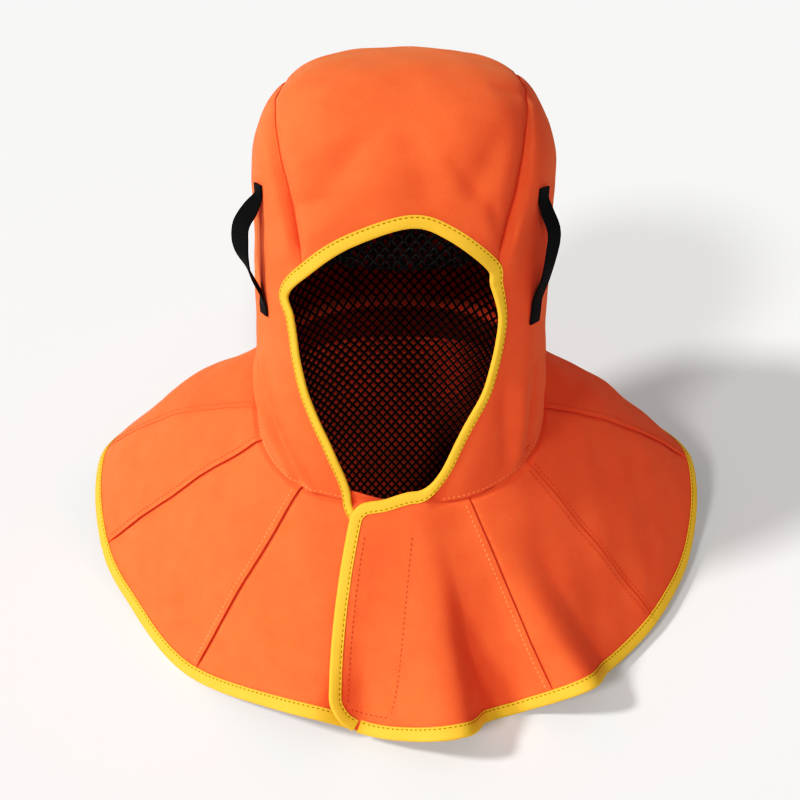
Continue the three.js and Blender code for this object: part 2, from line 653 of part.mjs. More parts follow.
function netGaps() {
  const { rows, columns, pitch, halfSize, lowest, slope, depth } = NET_GAPS;
  const length = bagPoint(180, 0).distanceTo(bagPoint(180, 1));
  const gaps = [];
  for (let row = 0; row < rows; row += 1) {
    const shift = row % 2 === 0 ? 0 : pitch / 2;
    for (let column = 0; column < columns; column += 1) {
      const gap = new THREE.BoxGeometry(halfSize * Math.SQRT2, halfSize * Math.SQRT2, depth);
      gap.rotateZ(Math.PI / 4);
      gap.rotateX(radians(slope));
      const middle = bagPoint(180, lowest + (row * pitch) / 2 / length);
      gap.translate((column - (columns - 1) / 2) * pitch + shift - pitch / 4, middle.y, middle.z);
      gaps.push(solidOf(gap));
    }
  }
  return wasm.Manifold.union(gaps);
}

const BAG_COLUMNS = 20;
const BAG_ROWS = [0, 0.5, 1, 1.5, 2, 2.1, 2.22, 2.5, 3];
const bag = shellOf(bagPoint, bagNormal, NET_INSET, NET_WALL, BAG_ROWS, BAG_COLUMNS);
const net = geometryOfSolid(bag.subtract(faceCutter()).subtract(netGaps()));
const netPoints = net.getAttribute("position");
for (let i = 0; i < netPoints.count; i += 1) {
  const point = new THREE.Vector3().fromBufferAttribute(netPoints, i);
  netPoints.setZ(i, point.z - roofDrop(point));
}
addPiece("net_lining", net, COLOURS.black, ROUGHNESS.net);

function neckLiningGrid(off) {
  const { fromTurn, toTurn, fromRow, toRow } = NECK_LINING;
  return spaced(fromRow, toRow, 4).map((row) =>
    spaced(fromTurn, toTurn, 12).map((turn) => bagPoint(turn, row).addScaledVector(bagNormal(turn, row), off)),
  );
}
const neckLining = wallOf(neckLiningGrid(NECK_LINING.off + NECK_LINING.wall), neckLiningGrid(NECK_LINING.off), false);
addPiece("neck_lining", neckLining, COLOURS.orange, ROUGHNESS.cotton);

export default hood;
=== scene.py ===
"""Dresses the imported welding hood: cotton panels with their seams, stitching and creases, folded yellow
binding, a knotted net lining, ribbed webbing loops, and the stage on which they are seen. The shape tables
are in millimetres in the neck's own frame, as in the part's source. Left and right are as seen from the
front."""

import math

import bpy
import numpy as np
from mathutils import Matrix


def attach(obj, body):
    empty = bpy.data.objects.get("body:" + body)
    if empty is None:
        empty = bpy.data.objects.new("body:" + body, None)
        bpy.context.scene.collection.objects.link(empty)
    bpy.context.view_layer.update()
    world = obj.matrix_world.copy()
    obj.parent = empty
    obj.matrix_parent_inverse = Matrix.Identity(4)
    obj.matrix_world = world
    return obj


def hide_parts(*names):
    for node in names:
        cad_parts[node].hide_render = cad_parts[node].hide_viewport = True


bl_info = {
    "name": "Welding hood",
    "version": (1, 0, 0),
    "blender": (4, 5, 0),
    "location": "View3D > Sidebar > Hood",
    "description": "Builds the cloth, binding, net and webbing of a welding hood on its packed frame",
    "category": "Object",
}

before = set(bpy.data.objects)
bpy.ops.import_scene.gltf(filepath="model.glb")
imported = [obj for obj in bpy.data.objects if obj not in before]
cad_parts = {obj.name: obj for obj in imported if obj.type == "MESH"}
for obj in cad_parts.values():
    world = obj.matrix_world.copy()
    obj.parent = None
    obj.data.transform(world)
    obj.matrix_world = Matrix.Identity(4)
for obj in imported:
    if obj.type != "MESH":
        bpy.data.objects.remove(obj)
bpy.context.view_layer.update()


def table(columns, *rows):
    """A table with named columns, each column an array."""
    return {name: np.array(values, float) for name, values in zip(columns.split(), zip(*rows))}


def rows_of(columns):
    """The rows of a table, one after the other, each with its named values."""
    return [dict(zip(columns, values)) for values in zip(*columns.values())]


# A run of places is given by its first, its last and the number of its points

# Walls and gaps of the part
CLOTH = 1.5
SEAM_GAP = 0.3
TAPE_WIDTH = 10.0
FLAP_LIFT = 6.3
NET_INSET = 4.2
NET_MIDDLE = NET_INSET + 0.5  # middle of the net's wall inside the head's outer face
WEBBING_WIDTH = 15.0
WEBBING_WALL = 1.5
STAND = np.array((3.6, 22.0, 2.6))
MM = 0.001

# Head rings from neck to brow
HEAD_RINGS = table(
    "level front_y front_z back_y back_z half_width lean",
    (0, -108, 150, 108, 193, 121, 0),
    (1, -98, 204, 137, 224, 121, 0),
    (2, -84, 262, 162, 256, 121, 1),
    (3, -66, 325, 181, 286, 121, 2.5),
    (4, -43, 394, 192, 312, 120.5, 3),
)
BROW_LEVEL = 4
CROWN_LEVEL = 5
CROWN_RISE = 92
RING_POWER = 2.5
CROWN_POWER = 2.6
CROWN_SEAM_AT_FLOOR = -12  # half width between the crown seams, and how it grows with height
CROWN_SEAM_SPREAD = 0.257
CROWN_EDGE = 1.055  # share of its width to which the crown panel runs on under its neighbours
CROWN_TUCK = 2.0  # how far the crown panel's front edges lie inside the side panels
CROWN_TUCK_BACK = 0.4  # share of that at the back
CROWN_TUCK_EDGE = (-4, -0.3)  # from the seam, on the crown's side: where the tuck begins and is full
CROWN_LINE_GAP = 0.003  # levels by which the crown panel's lines stay below the top
CROWN_LINE_POINTS = 400
SEAM_TOP_LEVELS = 2001  # levels among which the top of a crown seam is found
AHEAD = (-0.2, 0.2)  # cosines of the turn between which the back of the head passes into its front

# Face opening, seen along the tilt of the face
FACE_TILT = math.radians(15)
FACE_UP = np.array((0, math.sin(FACE_TILT), math.cos(FACE_TILT)))
FACE_LEVELS = (0.02, 4.95)  # levels of the head between which the opening lies
FACE_STEPS = 14
BROW_FROM = 2.5  # level from which the opening's outline counts as the brow
FACE_OPENING = table(
    "across up",
    (-40, 92),
    (-41, 122),
    (-53, 158),
    (-71, 200),
    (-80, 240),
    (-84, 270),
    (-87, 288),
    (-67, 311),
    (-38, 333),
    (6, 349),
    (36, 340),
    (67, 314),
    (71, 300),
    (77, 272),
    (72, 236),
    (65, 209),
    (50, 180),
    (35, 147),
    (22, 124),
    (20, 92),
)

# Cape: how a line that leaves the neck at one angle from the front meets the hem, and how far it bulges
CAPE_LINES = table(
    "neck hem bow",
    (-180, -180, 8),
    (-130, -141, 16),
    (-105, -122, 26),
    (-85, -104, 16),
    (-69, -85, 4),
    (-41, -47, 3),
    (0, 0, 4),
    (28, 32, 4),
    (57, 64, 3),
    (85, 103, 10),
    (105, 122, 20),
    (130, 141, 14),
    (180, 180, 8),
)
# Hem by angle from the front: reach and rise of the plain cape, and how far a wave throws it out and up
HEM = table(
    "angle reach rise out up",
    (-180, 206, 0, 0, 0),
    (-160, 211, 0, 0, 0),
    (-140, 232, 4, 0, 0),
    (-122, 268, 28, 0, 0),
    (-109, 288, 43, 0, 0),
    (-102, 292, 42, 0, 0),
    (-84, 273, 11, 0, 0),
    (-69, 253, 4, 0, 0),
    (-50, 242, 0, 0, 0),
    (-30, 234, 0, 0, 17),
    (-17, 231, 0, 6, 29),
    (-8, 229, 0, -3, 9),
    (0, 228, 0, 7, 14),
    (11, 228, 0, 23, 31),
    (18, 229, 0, -9, 2),
    (27, 231, 0, -6, 4),
    (37, 235, 0, 19, 35),
    (47, 240, 0, 0, 10),
    (69, 252, 4, 0, 4),
    (84, 267, 11, 0, 0),
    (102, 285, 38, 0, 0),
    (109, 283, 40, 0, 0),
    (122, 266, 28, 0, 0),
    (140, 232, 4, 0, 0),
    (160, 211, 0, 0, 0),
    (180, 206, 0, 0, 0),
)
WAVE_FADE = 2.2
BOW_OUT = 0.6
BOW_UP = 0.8

# Gores between their seams, as angles at the neck
GORES = {
    "cape_left_mid": (-69, -41),
    "cape_left_side": (-85, -69),
    "cape_back_left": (-180, -85),
    "cape_back_right": (85, 180),
    "cape_right_side": (57, 85),
    "cape_right_mid": (28, 57),
    "cape_front_left": (-41, 9),
}
FRONT_LEFT_TO = GORES["cape_front_left"][1]
FRONT_RIGHT_TO = 28
FLAP_EDGE = {"neck": -18, "hem": -12.5, "top_round": 14, "bottom_round": 20}
FLAP_BLEND = (6, 26)
# How far the flap's top climbs beside the cheek
FLAP_RAISE = {"rows": 0.045, "climb": (-13, 7), "fall": (10, 18), "reach": 0.12}
FLAP_TOP_END = 7  # angle at the neck where the binding of the flap's top begins
FLAP_TOP_FROM = 0.34  # level of the face opening from which the binding leads over to it
CORNER_GAP = 0.9
CLOSURE = {"neck": (-13, 2), "hem": (-8, 0), "rows": (0.13, 0.92, 70), "columns": 16, "off": 1.2, "wall": 1.1}

# Webbing loops: the turn of each on the head, how far it stands off between its sewn ends, and its twists
LOOPS = {
    "loop_left": {"turn": -58, "slack": 0.95, "twist": -40, "untwist": 16},
    "loop_right": {"turn": 52, "slack": 0.7, "twist": 12, "untwist": 0},
}
LOOP_WAY = table(
    "stop level off",
    (0, 4, 0),
    (1, 3.86, 0.4),
    (2, 3.7, 8),
    (3, 3.5, 17),
    (4, 3.25, 17),
    (5, 2.9, 10),
    (6, 2.62, 1.5),
    (7, 2.46, 0.2),
    (8, 2.3, 0),
)
LOOP_MIDDLE = 3.15
# Stops between which a loop's two twists come and go
LOOP_TWIST = {"twist": ((0.8, 2.4), (3.6, 5)), "untwist": ((4, 5.4), (6, 7.4))}
WEBBING_ROUND = 0.45
WEBBING_CROWN = 0.08
WEBBING_OFF = SEAM_GAP + 0.2  # gap between the webbing's sewn ends and the plain cloth

# Net bag and the cloth that hangs behind it
BAG = {"wall_from": 0.12, "wall_to": 3.86, "rows": (-0.1, 2.92, 600), "back_turn": 170, "girth_points": 400}
ROOF = {"drop": 34, "below_rim": (-30, -6), "fold_drop": 44, "fold_back": 14, "fold_width": 9}
BAG_END_AHEAD = 230  # how fast its end lies forward on the floor at the back
BAG_EDGE = {"half_width": 104, "front_y": -95, "front_z": 146, "back_y": 50, "back_z": 12}
BAG_FREE_FRONT = 42  # turn within which the bag's curtain is left open in front
BAG_BESIDE_FACE = 1.0  # degrees between the face opening and the net
# The part of the roof that hangs behind the brow
BROW_NET = {
    "half_width": 88,
    "back": 44,
    "lap": 4,
    "cell_height": 13.4,
    "depth": 200,
    "shortest": 2,
    "points": 300,
}
STRAND_LAP = 0.3
NECK_LINING = {"off": 3.5, "wall": 1.2, "turns": (100, 260, 110), "rows": (-0.09, 0.8, 60), "crumple": 1.4}

# How deep the cloth dips along the crown seams at each level, in front and at the back
SEAM_DIP = table(
    "level front back",
    (0, 1, 1),
    (2, 1, 1),
    (3, 3, 1),
    (3.4, 5.5, 1),
    (4, 5.5, 1),
    (4.2, 2.6, 1),
    (4.35, 0.6, 0.6),
    (5, 0.4, 0.4),
)
# Cloth beside a crown seam: how near it rolls up to its height and how far that reaches, on the side panels
# and on the crown panel, the shares of the dip that go up and down, and the groove of the seam itself
SEAM_ROLL = {"side": 4.2, "crown": 13}
SEAM_REACH = {"side": 20, "crown": 38}
SEAM_UP = 0.85
SEAM_DOWN = 0.45
SEAM_VALLEY = 0.55
GROOVE = {"depth": 0.7, "width": 1.2}
# Creases of the head, from one place to another: half width, and height above the plain cloth
HEAD_CREASES = table(
    "turn level to_turn to_level width height",
    (-15, 4.22, -34, 3.86, 15, -3.8),
    (1, 4.25, 9, 4.0, 13, -2.4),
    (17, 4.13, 30, 3.92, 8, -2.2),
    (34, 4.22, 25, 4.03, 11, -2.6),
    (30, 3.93, 31, 3.72, 5, -2.2),
    (12, 4.43, 42, 4.39, 7, 1.3),
    (45, 4.52, 66, 4.40, 5, -1.6),
    (-45, 4.55, -80, 4.3, 5, 0.9),
    (-62, 1.5, -36, 0.05, 5, 3.6),
    (-74, 1.1, -46, 0.1, 6, 3.6),
    (-68, 1.3, -41, 0.1, 4, -3.2),
    (38, 1.7, 45, 0.3, 7, -3.2),
    (48, 1.4, 51, 0.2, 6, 3.6),
    (57, 1.5, 59, 0.2, 6, -3.2),
)
CREASE_TAPER = 0.35
CREASE_STEPS = (0.5, 0.02)  # degrees and levels by which a crease's scale is measured
# Share of the relief left beside the face opening, and the distances between which the rest comes back
HELD = {"share": 0.3, "near": 8, "far": 24}
# Cape seams: angle at the neck, side of the panel that lies on top and is stitched, and the other's dip
CAPE_SEAMS = table(
    "angle top dip",
    (-85, -1, 0.3),
    (-69, -1, 1.8),
    (-41, -1, 1.8),
    (28, -1, 1.2),
    (57, -1, 1.0),
    (85, 1, 1.6),
    (180, 1, 0.8),
    (-180, 1, 0.8),
)
PALE_SEAMS = (-41, 28)  # seams stitched with the pale thread of the neck
TWICE_SEWN = 57  # seam stitched on both sides
SEAM_STEP = 1.0
SEAM_RISE_WIDTH = 10
SEAM_DIP_WIDTH = 2.6
SEAM_END = {"rows": (0.9, 0.96), "loss": 0.7}  # where a seam flattens under the hem's binding
SEAM_LAP = 5.0  # how far the lower panel runs on under the upper one
NECK_TUCK = 2.4  # how far the cape's neck edge lies inside the head's
NECK_EDGE = (0.002, 0.03)  # rows between which it comes out again
NECK_LAP = 0.16  # level of the head up to which the cape's neck edge runs on inside it
NECK_ROWS = 0.06  # rows near the neck that have a finer mesh
FACING = (-26, 0)  # angles at the neck between which the lap falls away in the face opening
FACING_WITHIN = 40
# Slow unevenness of worn cloth: sums of waves with their length, direction, phase and height
RIPPLES = table(
    "length x y z phase height",
    (97, 0.8, 0.1, 0.6, 0.4, 0.8),
    (71, -0.6, 0.3, 0.7, 1.9, 0.6),
    (53, 0.3, -0.8, 0.5, 3.1, 0.45),
    (41, 0.9, 0.4, -0.2, 4.4, 0.3),
    (29, -0.2, 0.6, 0.8, 5.2, 0.16),
    (23, 0.6, -0.5, 0.6, 0.9, 0.12),
)
RIPPLE_ROWS = ((0, 0.15), (0.8, 1))  # rows of the cape between which its unevenness comes and goes

# Section of a folded tape, over the cloth and out of it: its outer leg with the dent of the stitching, the
# fold, and its inner leg
TAPE_SECTION = np.array(
    (
        (10.0, 0.3),
        (9.9, 0.8),
        (9.0, 1.0),
        (8.0, 0.7),
        (7.0, 1.05),
        (4.0, 1.2),
        (1.0, 1.25),
        (-0.6, 1.05),
        (-1.5, 0.4),
        (-1.9, -0.75),
        (-1.6, -2.2),
        (-0.6, -3.0),
        (1.0, -3.2),
        (5.0, -3.1),
        (9.8, -2.8),
        (10.0, -2.2),
        (9.6, -1.8),
        (0.5, -1.8),
        (0.0, -0.75),
        (0.5, 0.15),
    )
)
TAPE_STITCH = {"over": 8.0, "out": 0.85}
# Shares of the tape's width that lie over the cloth
TAPE_SHARE = {"cheek": 0.52, "brow": 0.88, "flap": 0.8, "hem": 0.92}
BROW_TAPE = (2.5, 3.2)  # levels between which the tape widens to the brow
UNDER_FLAP = {"angle": (-15.5, -19.2, 8), "row": (0.085, 0.035, 8)}  # the tape's end under the flap
TAPE_FROM = 0.12  # level at which the tape comes out on the cheek
# Points along the edges that carry tape, and steps of the bridges from one edge to the next
EDGE_POINTS = {"flap": 90, "flap_top": 22, "hem_left": 420, "hem_right": 330, "hem_front": 120}
BRIDGE_STEPS = {"to_face": 6, "to_flap": 14}
# Spacing of the tape's mesh, and how many neighbours on each side its directions are evened over
FACE_TAPE = (1.5, 4)
HEM_TAPE = (2.0, 2)

# Stitching: how far it lies beside a seam and above the cloth, and the rectangle that holds the closure tape
BESIDE_SEAM = 4.6
THREAD_ABOVE = 0.15
SEAM_ROWS = (0.02, 0.95, 120)
NECK_STITCH = {"level": 0.05, "turns": ((-176, -23, 220), (16, 176, 220))}
FRONT_STITCH = {"rows": (0.13, 0.915, 100), "beside": 12.5, "width": 37, "widens": 11, "bottom_points": 20}

# Sizes over which the cloth's mesh is spread: length and width of the head panels, length of the gores, and
# width for each of their degrees
SIDE_MESH = (330, 230)
CROWN_MESH = (600, 150)
GORE_MESH = 215
GORE_DEGREE_MESH = 2.6 * math.pi
SIDE_CROWDING = 1.25  # how a side panel's rows crowd together towards its top
LAP_POINTS = 5
NECK_POINTS = 10
# Rows of the flap, closer at its round corners
FLAP_ROWS = ((0, 1, 110), (0, 0.08, 16), (0.9, 1, 16))
FLAP_COLUMNS = 130
LOOP_POINTS = 160

# Steps at which surfaces are measured: degrees round, and levels or rows
TURN_STEP = 0.2
LEVEL_STEP = 0.01
HALVINGS = 40  # how often the bounds of a place that is looked for are halved


# Curves and surfaces


def smooth(rows, by, key, place):
    """A column of a table at places between its rows, on a smooth curve through them."""
    stops = rows[by]
    values = rows[key]
    slope = np.gradient(values, stops)
    slope[1:-1] = (values[2:] - values[:-2]) / (stops[2:] - stops[:-2])
    i = np.clip(np.searchsorted(stops, place) - 1, 0, len(stops) - 2)
    span = stops[i + 1] - stops[i]
    t = (place - stops[i]) / span
    rise = values[i + 1] - values[i]
    bend = t * (1 - t) * ((1 - t) * (slope[i] * span - rise) - t * (slope[i + 1] * span - rise))
    return values[i] + rise * t + bend


def step_between(value, low, high):
    """0 below low, 1 above high, and smooth between."""
    t = np.clip((value - low) / (high - low), 0, 1)
    return t * t * (3 - 2 * t)


def between_ends(ends, share):
    """Values that lie at shares of the way from one end to the other."""
    return ends[0] + (ends[1] - ends[0]) * share


def bell(distance, width):
    """1 at no distance, and hardly anything at twice the width."""
    return np.exp(-((distance / width) ** 2))


def both(first, second):
    """Two sets of places as arrays of one shape."""
    return np.broadcast_arrays(np.asarray(first, float), np.asarray(second, float))


def vector(x, y, z):
    return np.stack(np.broadcast_arrays(x, y, z), axis=-1).astype(float)


def lengths(vectors):
    return np.linalg.norm(vectors, axis=-1)


def unit(vectors):
    return vectors / np.maximum(lengths(vectors)[..., None], 1e-9)


def along_line(points):
    """The distance along a line to each of its points."""
    return np.concatenate(([0], np.cumsum(lengths(np.diff(points, axis=0)))))


def read_at(places, along, values):
    """Rows of values at places along a line."""
    return np.stack([np.interp(places, along, column) for column in values.T], axis=-1)


def found_between(low, high, beyond):
    """Where a condition changes between two bounds: it holds from there to the high one."""
    for _ in range(HALVINGS):
        middle = (low + high) / 2
        past = beyond(middle)
        low = np.where(past, low, middle)
        high = np.where(past, middle, high)
    return (low + high) / 2


def slopes(surface, u, v, u_step=TURN_STEP, v_step=LEVEL_STEP):
    """How a surface runs for each unit of its two places."""
    across = (surface(u + u_step, v) - surface(u - u_step, v)) / (2 * u_step)
    along = (surface(u, v + v_step) - surface(u, v - v_step)) / (2 * v_step)
    return across, along


def normal_of(surface, u, v):
    return unit(np.cross(*slopes(surface, u, v)))


def head_ring(level):
    """The ring of the head at a level: its middle, its axes and its half sizes."""
    level = np.asarray(level, float)
    wall = np.minimum(level, BROW_LEVEL)
    ring = {key: smooth(HEAD_RINGS, "level", key, wall) for key in HEAD_RINGS}
    front = vector(0, ring["front_y"], ring["front_z"])
    back = vector(0, ring["back_y"], ring["back_z"])
    towards_back = unit(back - front)
    upwards = np.cross(np.array((1.0, 0.0, 0.0)), towards_back)
    climb = np.clip(level - BROW_LEVEL, 0, 1) * math.pi / 2
    shrink = np.maximum(np.cos(climb), 0) ** (2 / CROWN_POWER)
    lift = CROWN_RISE * np.sin(climb) ** (2 / CROWN_POWER)
    middle = (front + back) / 2 + upwards * lift[..., None]
    middle[..., 0] += ring["lean"]
    half_depth = lengths(back - front) / 2 * shrink
    return middle, towards_back, upwards, half_depth, ring["half_width"] * shrink


def head_point(turn, level):
    """A point on the plain head: turn in degrees from the front, positive towards +X."""
    turn, level = both(turn, level)
    middle, towards_back, _, half_depth, half_width = head_ring(level)
    side = np.sin(np.radians(turn))
    ahead = np.cos(np.radians(turn))
    depth = np.maximum(half_depth, 1e-6)
    width = np.maximum(half_width, 1e-6)
    size = np.abs(side / width) ** RING_POWER + np.abs(ahead / depth) ** RING_POWER
    radius = size ** (-1 / RING_POWER)
    point = middle - towards_back * (radius * ahead)[..., None]
    point[..., 0] += radius * side
    return point


def head_normal(turn, level):
    turn, level = both(turn, level)
    return normal_of(head_point, turn, np.clip(level, LEVEL_STEP, CROWN_LEVEL - 4 * LEVEL_STEP))


def cape_point(neck_angle, row):
    """A point of the plain cape: angle at the neck, and row from 0 at the neck to 1 at the hem."""
    neck_angle, row = both(neck_angle, row)
    angle = smooth(CAPE_LINES, "neck", "hem", neck_angle)
    outwards = vector(np.sin(np.radians(angle)), -np.cos(np.radians(angle)), 0)
    neck = head_point(neck_angle, 0)
    neck[..., 2] -= SEAM_GAP
    hem = outwards * smooth(HEM, "angle", "reach", angle)[..., None]
    hem[..., 2] = smooth(HEM, "angle", "rise", angle)
    fade = np.maximum(row, 0) ** WAVE_FADE
    bow = smooth(CAPE_LINES, "neck", "bow", neck_angle) * 4 * np.maximum(row, 0) * (1 - row)
    out = smooth(HEM, "angle", "out", angle) * fade + bow * BOW_OUT
    point = neck + (hem - neck) * row[..., None] + outwards * out[..., None]
    point[..., 2] += smooth(HEM, "angle", "up", angle) * fade + bow * BOW_UP
    return point


def cape_normal(neck_angle, row):
    return -normal_of(cape_point, neck_angle, row)


def cape_degree(neck_angle, row):
    """Millimetres that a degree of the neck's angle takes at a row of the cape."""
    return lengths(cape_point(neck_angle + 0.5, row) - cape_point(neck_angle - 0.5, row))


def plain_flap_edge(row):
    """The angle of the flap's free edge at a row, without its round corners."""
    return between_ends((FLAP_EDGE["neck"], FLAP_EDGE["hem"]), row)


def flap_edge(row):
    """The angle of the flap's free edge at a row, with its two round corners."""
    row = np.asarray(row, float)
    edge = plain_flap_edge(row)
    length = lengths(cape_point(edge, 0) - cape_point(edge, 1))

    def inset(round_size, distance):
        short = np.clip(round_size - distance, 0, round_size)
        return round_size - np.sqrt(round_size**2 - short**2)

    top = inset(FLAP_EDGE["top_round"], row * length)
    bottom = inset(FLAP_EDGE["bottom_round"], (1 - row) * length)
    return edge + (top + bottom) / cape_degree(edge, row)


def raised(neck_angle, row):
    """Rows of the flap, carried up at its top towards the cheek."""
    climb = step_between(neck_angle, *FLAP_RAISE["climb"])
    up = climb * (1 - step_between(neck_angle, *FLAP_RAISE["fall"]))
    return row - FLAP_RAISE["rows"] * up * (1 - step_between(row, 0, FLAP_RAISE["reach"]))


# Face opening and crown seams on the head


def spline(points, steps):
    """A smooth line through points, with some steps from each to the next."""
    padded = np.concatenate(([2 * points[0] - points[1]], points, [2 * points[-1] - points[-2]]))
    pieces = []
    t = np.linspace(0, 1, steps, endpoint=False)[:, None]
    for n in range(len(points) - 1):
        a, b, c, d = padded[n : n + 4]
        pull = (c - a) / 2
        leave = (d - b) / 2
        square = 3 * (c - b) - 2 * pull - leave
        cube = 2 * (b - c) + pull + leave
        pieces.append(b + pull * t + square * t**2 + cube * t**3)
    pieces.append(points[-1:])
    return np.concatenate(pieces)


def place_on_face(across, up):
    """The turn and level on the head behind points of the face opening's frame."""

    def turn_at(level):
        middle, _, _, half_depth, half_width = head_ring(level)
        side = across - middle[..., 0]
        share = np.minimum(np.abs(side) / half_width, 1)
        ahead = half_depth * (1 - share**RING_POWER) ** (1 / RING_POWER)
        return np.degrees(np.arctan2(side, ahead))

    def above(level):
        return head_point(turn_at(level), level) @ FACE_UP >= up

    level = found_between(np.zeros_like(across), np.full_like(across, FACE_LEVELS[1]), above)
    return turn_at(level), level


def face_outline():
    """Turns and levels along the face opening, from the left of the neck over the brow to the right."""
    spots = spline(np.stack((FACE_OPENING["across"], FACE_OPENING["up"]), axis=-1), FACE_STEPS)
    turn, level = place_on_face(spots[:, 0], spots[:, 1])
    above = level > FACE_LEVELS[0]
    return turn[above], level[above]


OUTLINE_TURN, OUTLINE_LEVEL = face_outline()
OUTLINE_SPOTS = head_point(OUTLINE_TURN, OUTLINE_LEVEL)[::3]
BROW = int(np.argmax(OUTLINE_LEVEL))


def opening_turn(level, side):
    """How far the face opening reaches round the head at levels, on one side."""
    part = slice(None, BROW + 1) if side < 0 else slice(BROW, None)
    levels = OUTLINE_LEVEL[part]
    turns = np.abs(OUTLINE_TURN[part])
    order = np.argsort(levels)
    return np.interp(level, levels[order], turns[order], right=0)


def crown_half_width(point):
    """Half the crown panel's width at the height of points."""
    return CROWN_SEAM_AT_FLOOR + CROWN_SEAM_SPREAD * point[..., 2]


def crown_share(turn, level):
    """Where points lie across the crown panel: -1 at its left seam and 1 at its right one."""
    point = head_point(turn, level)
    return point[..., 0] / crown_half_width(point)


def crown_turn(share, level, at_back):
    """The turn, without its sign, where the line of one share of the crown panel crosses the ring at levels.
    Above the line's top it is 90."""
    side = 1 if share >= 0 else -1
    low = np.full(np.shape(level), 90.0 if at_back else 0.0)

    def beyond(turn):
        outside = side * crown_share(side * turn, level) > side * share
        return outside != at_back

    return found_between(low, low + 90, beyond)


def seam_top(side):
    """The level at which the two ends of a side panel's crown seam meet."""
    levels = np.linspace(BROW_LEVEL, CROWN_LEVEL, SEAM_TOP_LEVELS)
    outside = side * crown_share(90 * side, levels) > 1
    return levels[np.nonzero(outside)[0][-1]]


def crown_line(share, steps):
    """Evenly spaced turns and levels of a line that keeps its share of the crown panel from brow to nape."""
    side = 1 if share >= 0 else -1

    def beyond(level):
        return side * crown_share(90 * side, level) < side * share

    top = float(found_between(np.array(BROW_LEVEL), np.array(CROWN_LEVEL - CROWN_LINE_GAP), beyond))
    upper = OUTLINE_LEVEL > BROW_FROM
    brow = np.interp(share, crown_share(OUTLINE_TURN, OUTLINE_LEVEL)[upper], OUTLINE_LEVEL[upper])
    run = np.linspace(0, 1, CROWN_LINE_POINTS)
    front = top - (top - brow) * (1 - run) ** 2
    back = top * (1 - run**2)
    turn = np.concatenate((crown_turn(share, front, False), crown_turn(share, back, True)[1:])) * side
    level = np.concatenate((front, back[1:]))
    along = along_line(head_point(turn, level))
    return read_at(np.linspace(0, along[-1], steps + 1), along, np.stack((turn, level), axis=-1))


# Relief of the sewn cloth


def ripple(point):
    """Slow unevenness at points of the cloth."""
    height = np.zeros(point.shape[:-1])
    for wave in rows_of(RIPPLES):
        way = unit(np.array((wave["x"], wave["y"], wave["z"])))
        height += wave["height"] * np.sin(point @ way * 2 * math.pi / wave["length"] + wave["phase"])
    return height


def crease_height(turn, level):
    """Height that the creases add at places of the head."""
    places = np.stack(both(turn, level), axis=-1)
    height = np.zeros(places.shape[:-1])
    for crease in rows_of(HEAD_CREASES):
        start = np.array((crease["turn"], crease["level"]))
        end = np.array((crease["to_turn"], crease["to_level"]))
        scale = lengths(np.array(slopes(head_point, *((start + end) / 2), *CREASE_STEPS)))
        run = (end - start) * scale
        off = (places - start) * scale
        near = np.clip(off @ run / (run @ run), 0, 1)
        beside = lengths(off - near[..., None] * run)
        bend = 1 - CREASE_TAPER * (2 * near - 1) ** 2
        height += crease["height"] * bend * bell(beside, crease["width"])
    return height


def held_flat(point):
    """How freely the cloth rises and dips: little beside the face opening, where the binding holds it."""
    nearest = np.full(point.shape[:-1], 1e9)
    for spot in OUTLINE_SPOTS:
        nearest = np.minimum(nearest, ((point - spot) ** 2).sum(axis=-1))
    free = step_between(np.sqrt(nearest), HELD["near"], HELD["far"])
    return between_ends((HELD["share"], 1), free)


def head_relief(turn, level, tucked):
    """Height of the sewn head above the plain one. The crown panel's edges are tucked in if asked."""
    point = head_point(turn, level)
    beside = np.abs(point[..., 0]) - crown_half_width(point)
    ahead = step_between(np.cos(np.radians(turn)), *AHEAD)
    dip = between_ends([smooth(SEAM_DIP, "level", key, level) for key in ("back", "front")], ahead)
    on_side = (beside > 0) & (not tucked)
    roll = np.where(on_side, SEAM_ROLL["side"], SEAM_ROLL["crown"])
    reach = np.where(on_side, SEAM_REACH["side"], SEAM_REACH["crown"])
    puff = (1 - bell(beside, roll)) * bell(beside, reach)
    valley = bell(beside, SEAM_VALLEY * roll)
    seam = dip * (SEAM_UP * puff - SEAM_DOWN * valley) - GROOVE["depth"] * bell(beside, GROOVE["width"])
    if tucked:
        tuck = CROWN_TUCK * between_ends((CROWN_TUCK_BACK, 1), ahead)
        seam = seam - tuck * step_between(beside, *CROWN_TUCK_EDGE)
    crease = crease_height((np.asarray(turn) + 180) % 360 - 180, level)
    return (seam + crease) * held_flat(point) + ripple(point)


def head_surface(turn, level, tucked=False):
    return head_point(turn, level) + head_normal(turn, level) * head_relief(turn, level, tucked)[..., None]


def neck_tuck(row):
    """How far the cape lies inside the head at rows near its neck edge."""
    return NECK_TUCK * (1 - step_between(row, *NECK_EDGE))


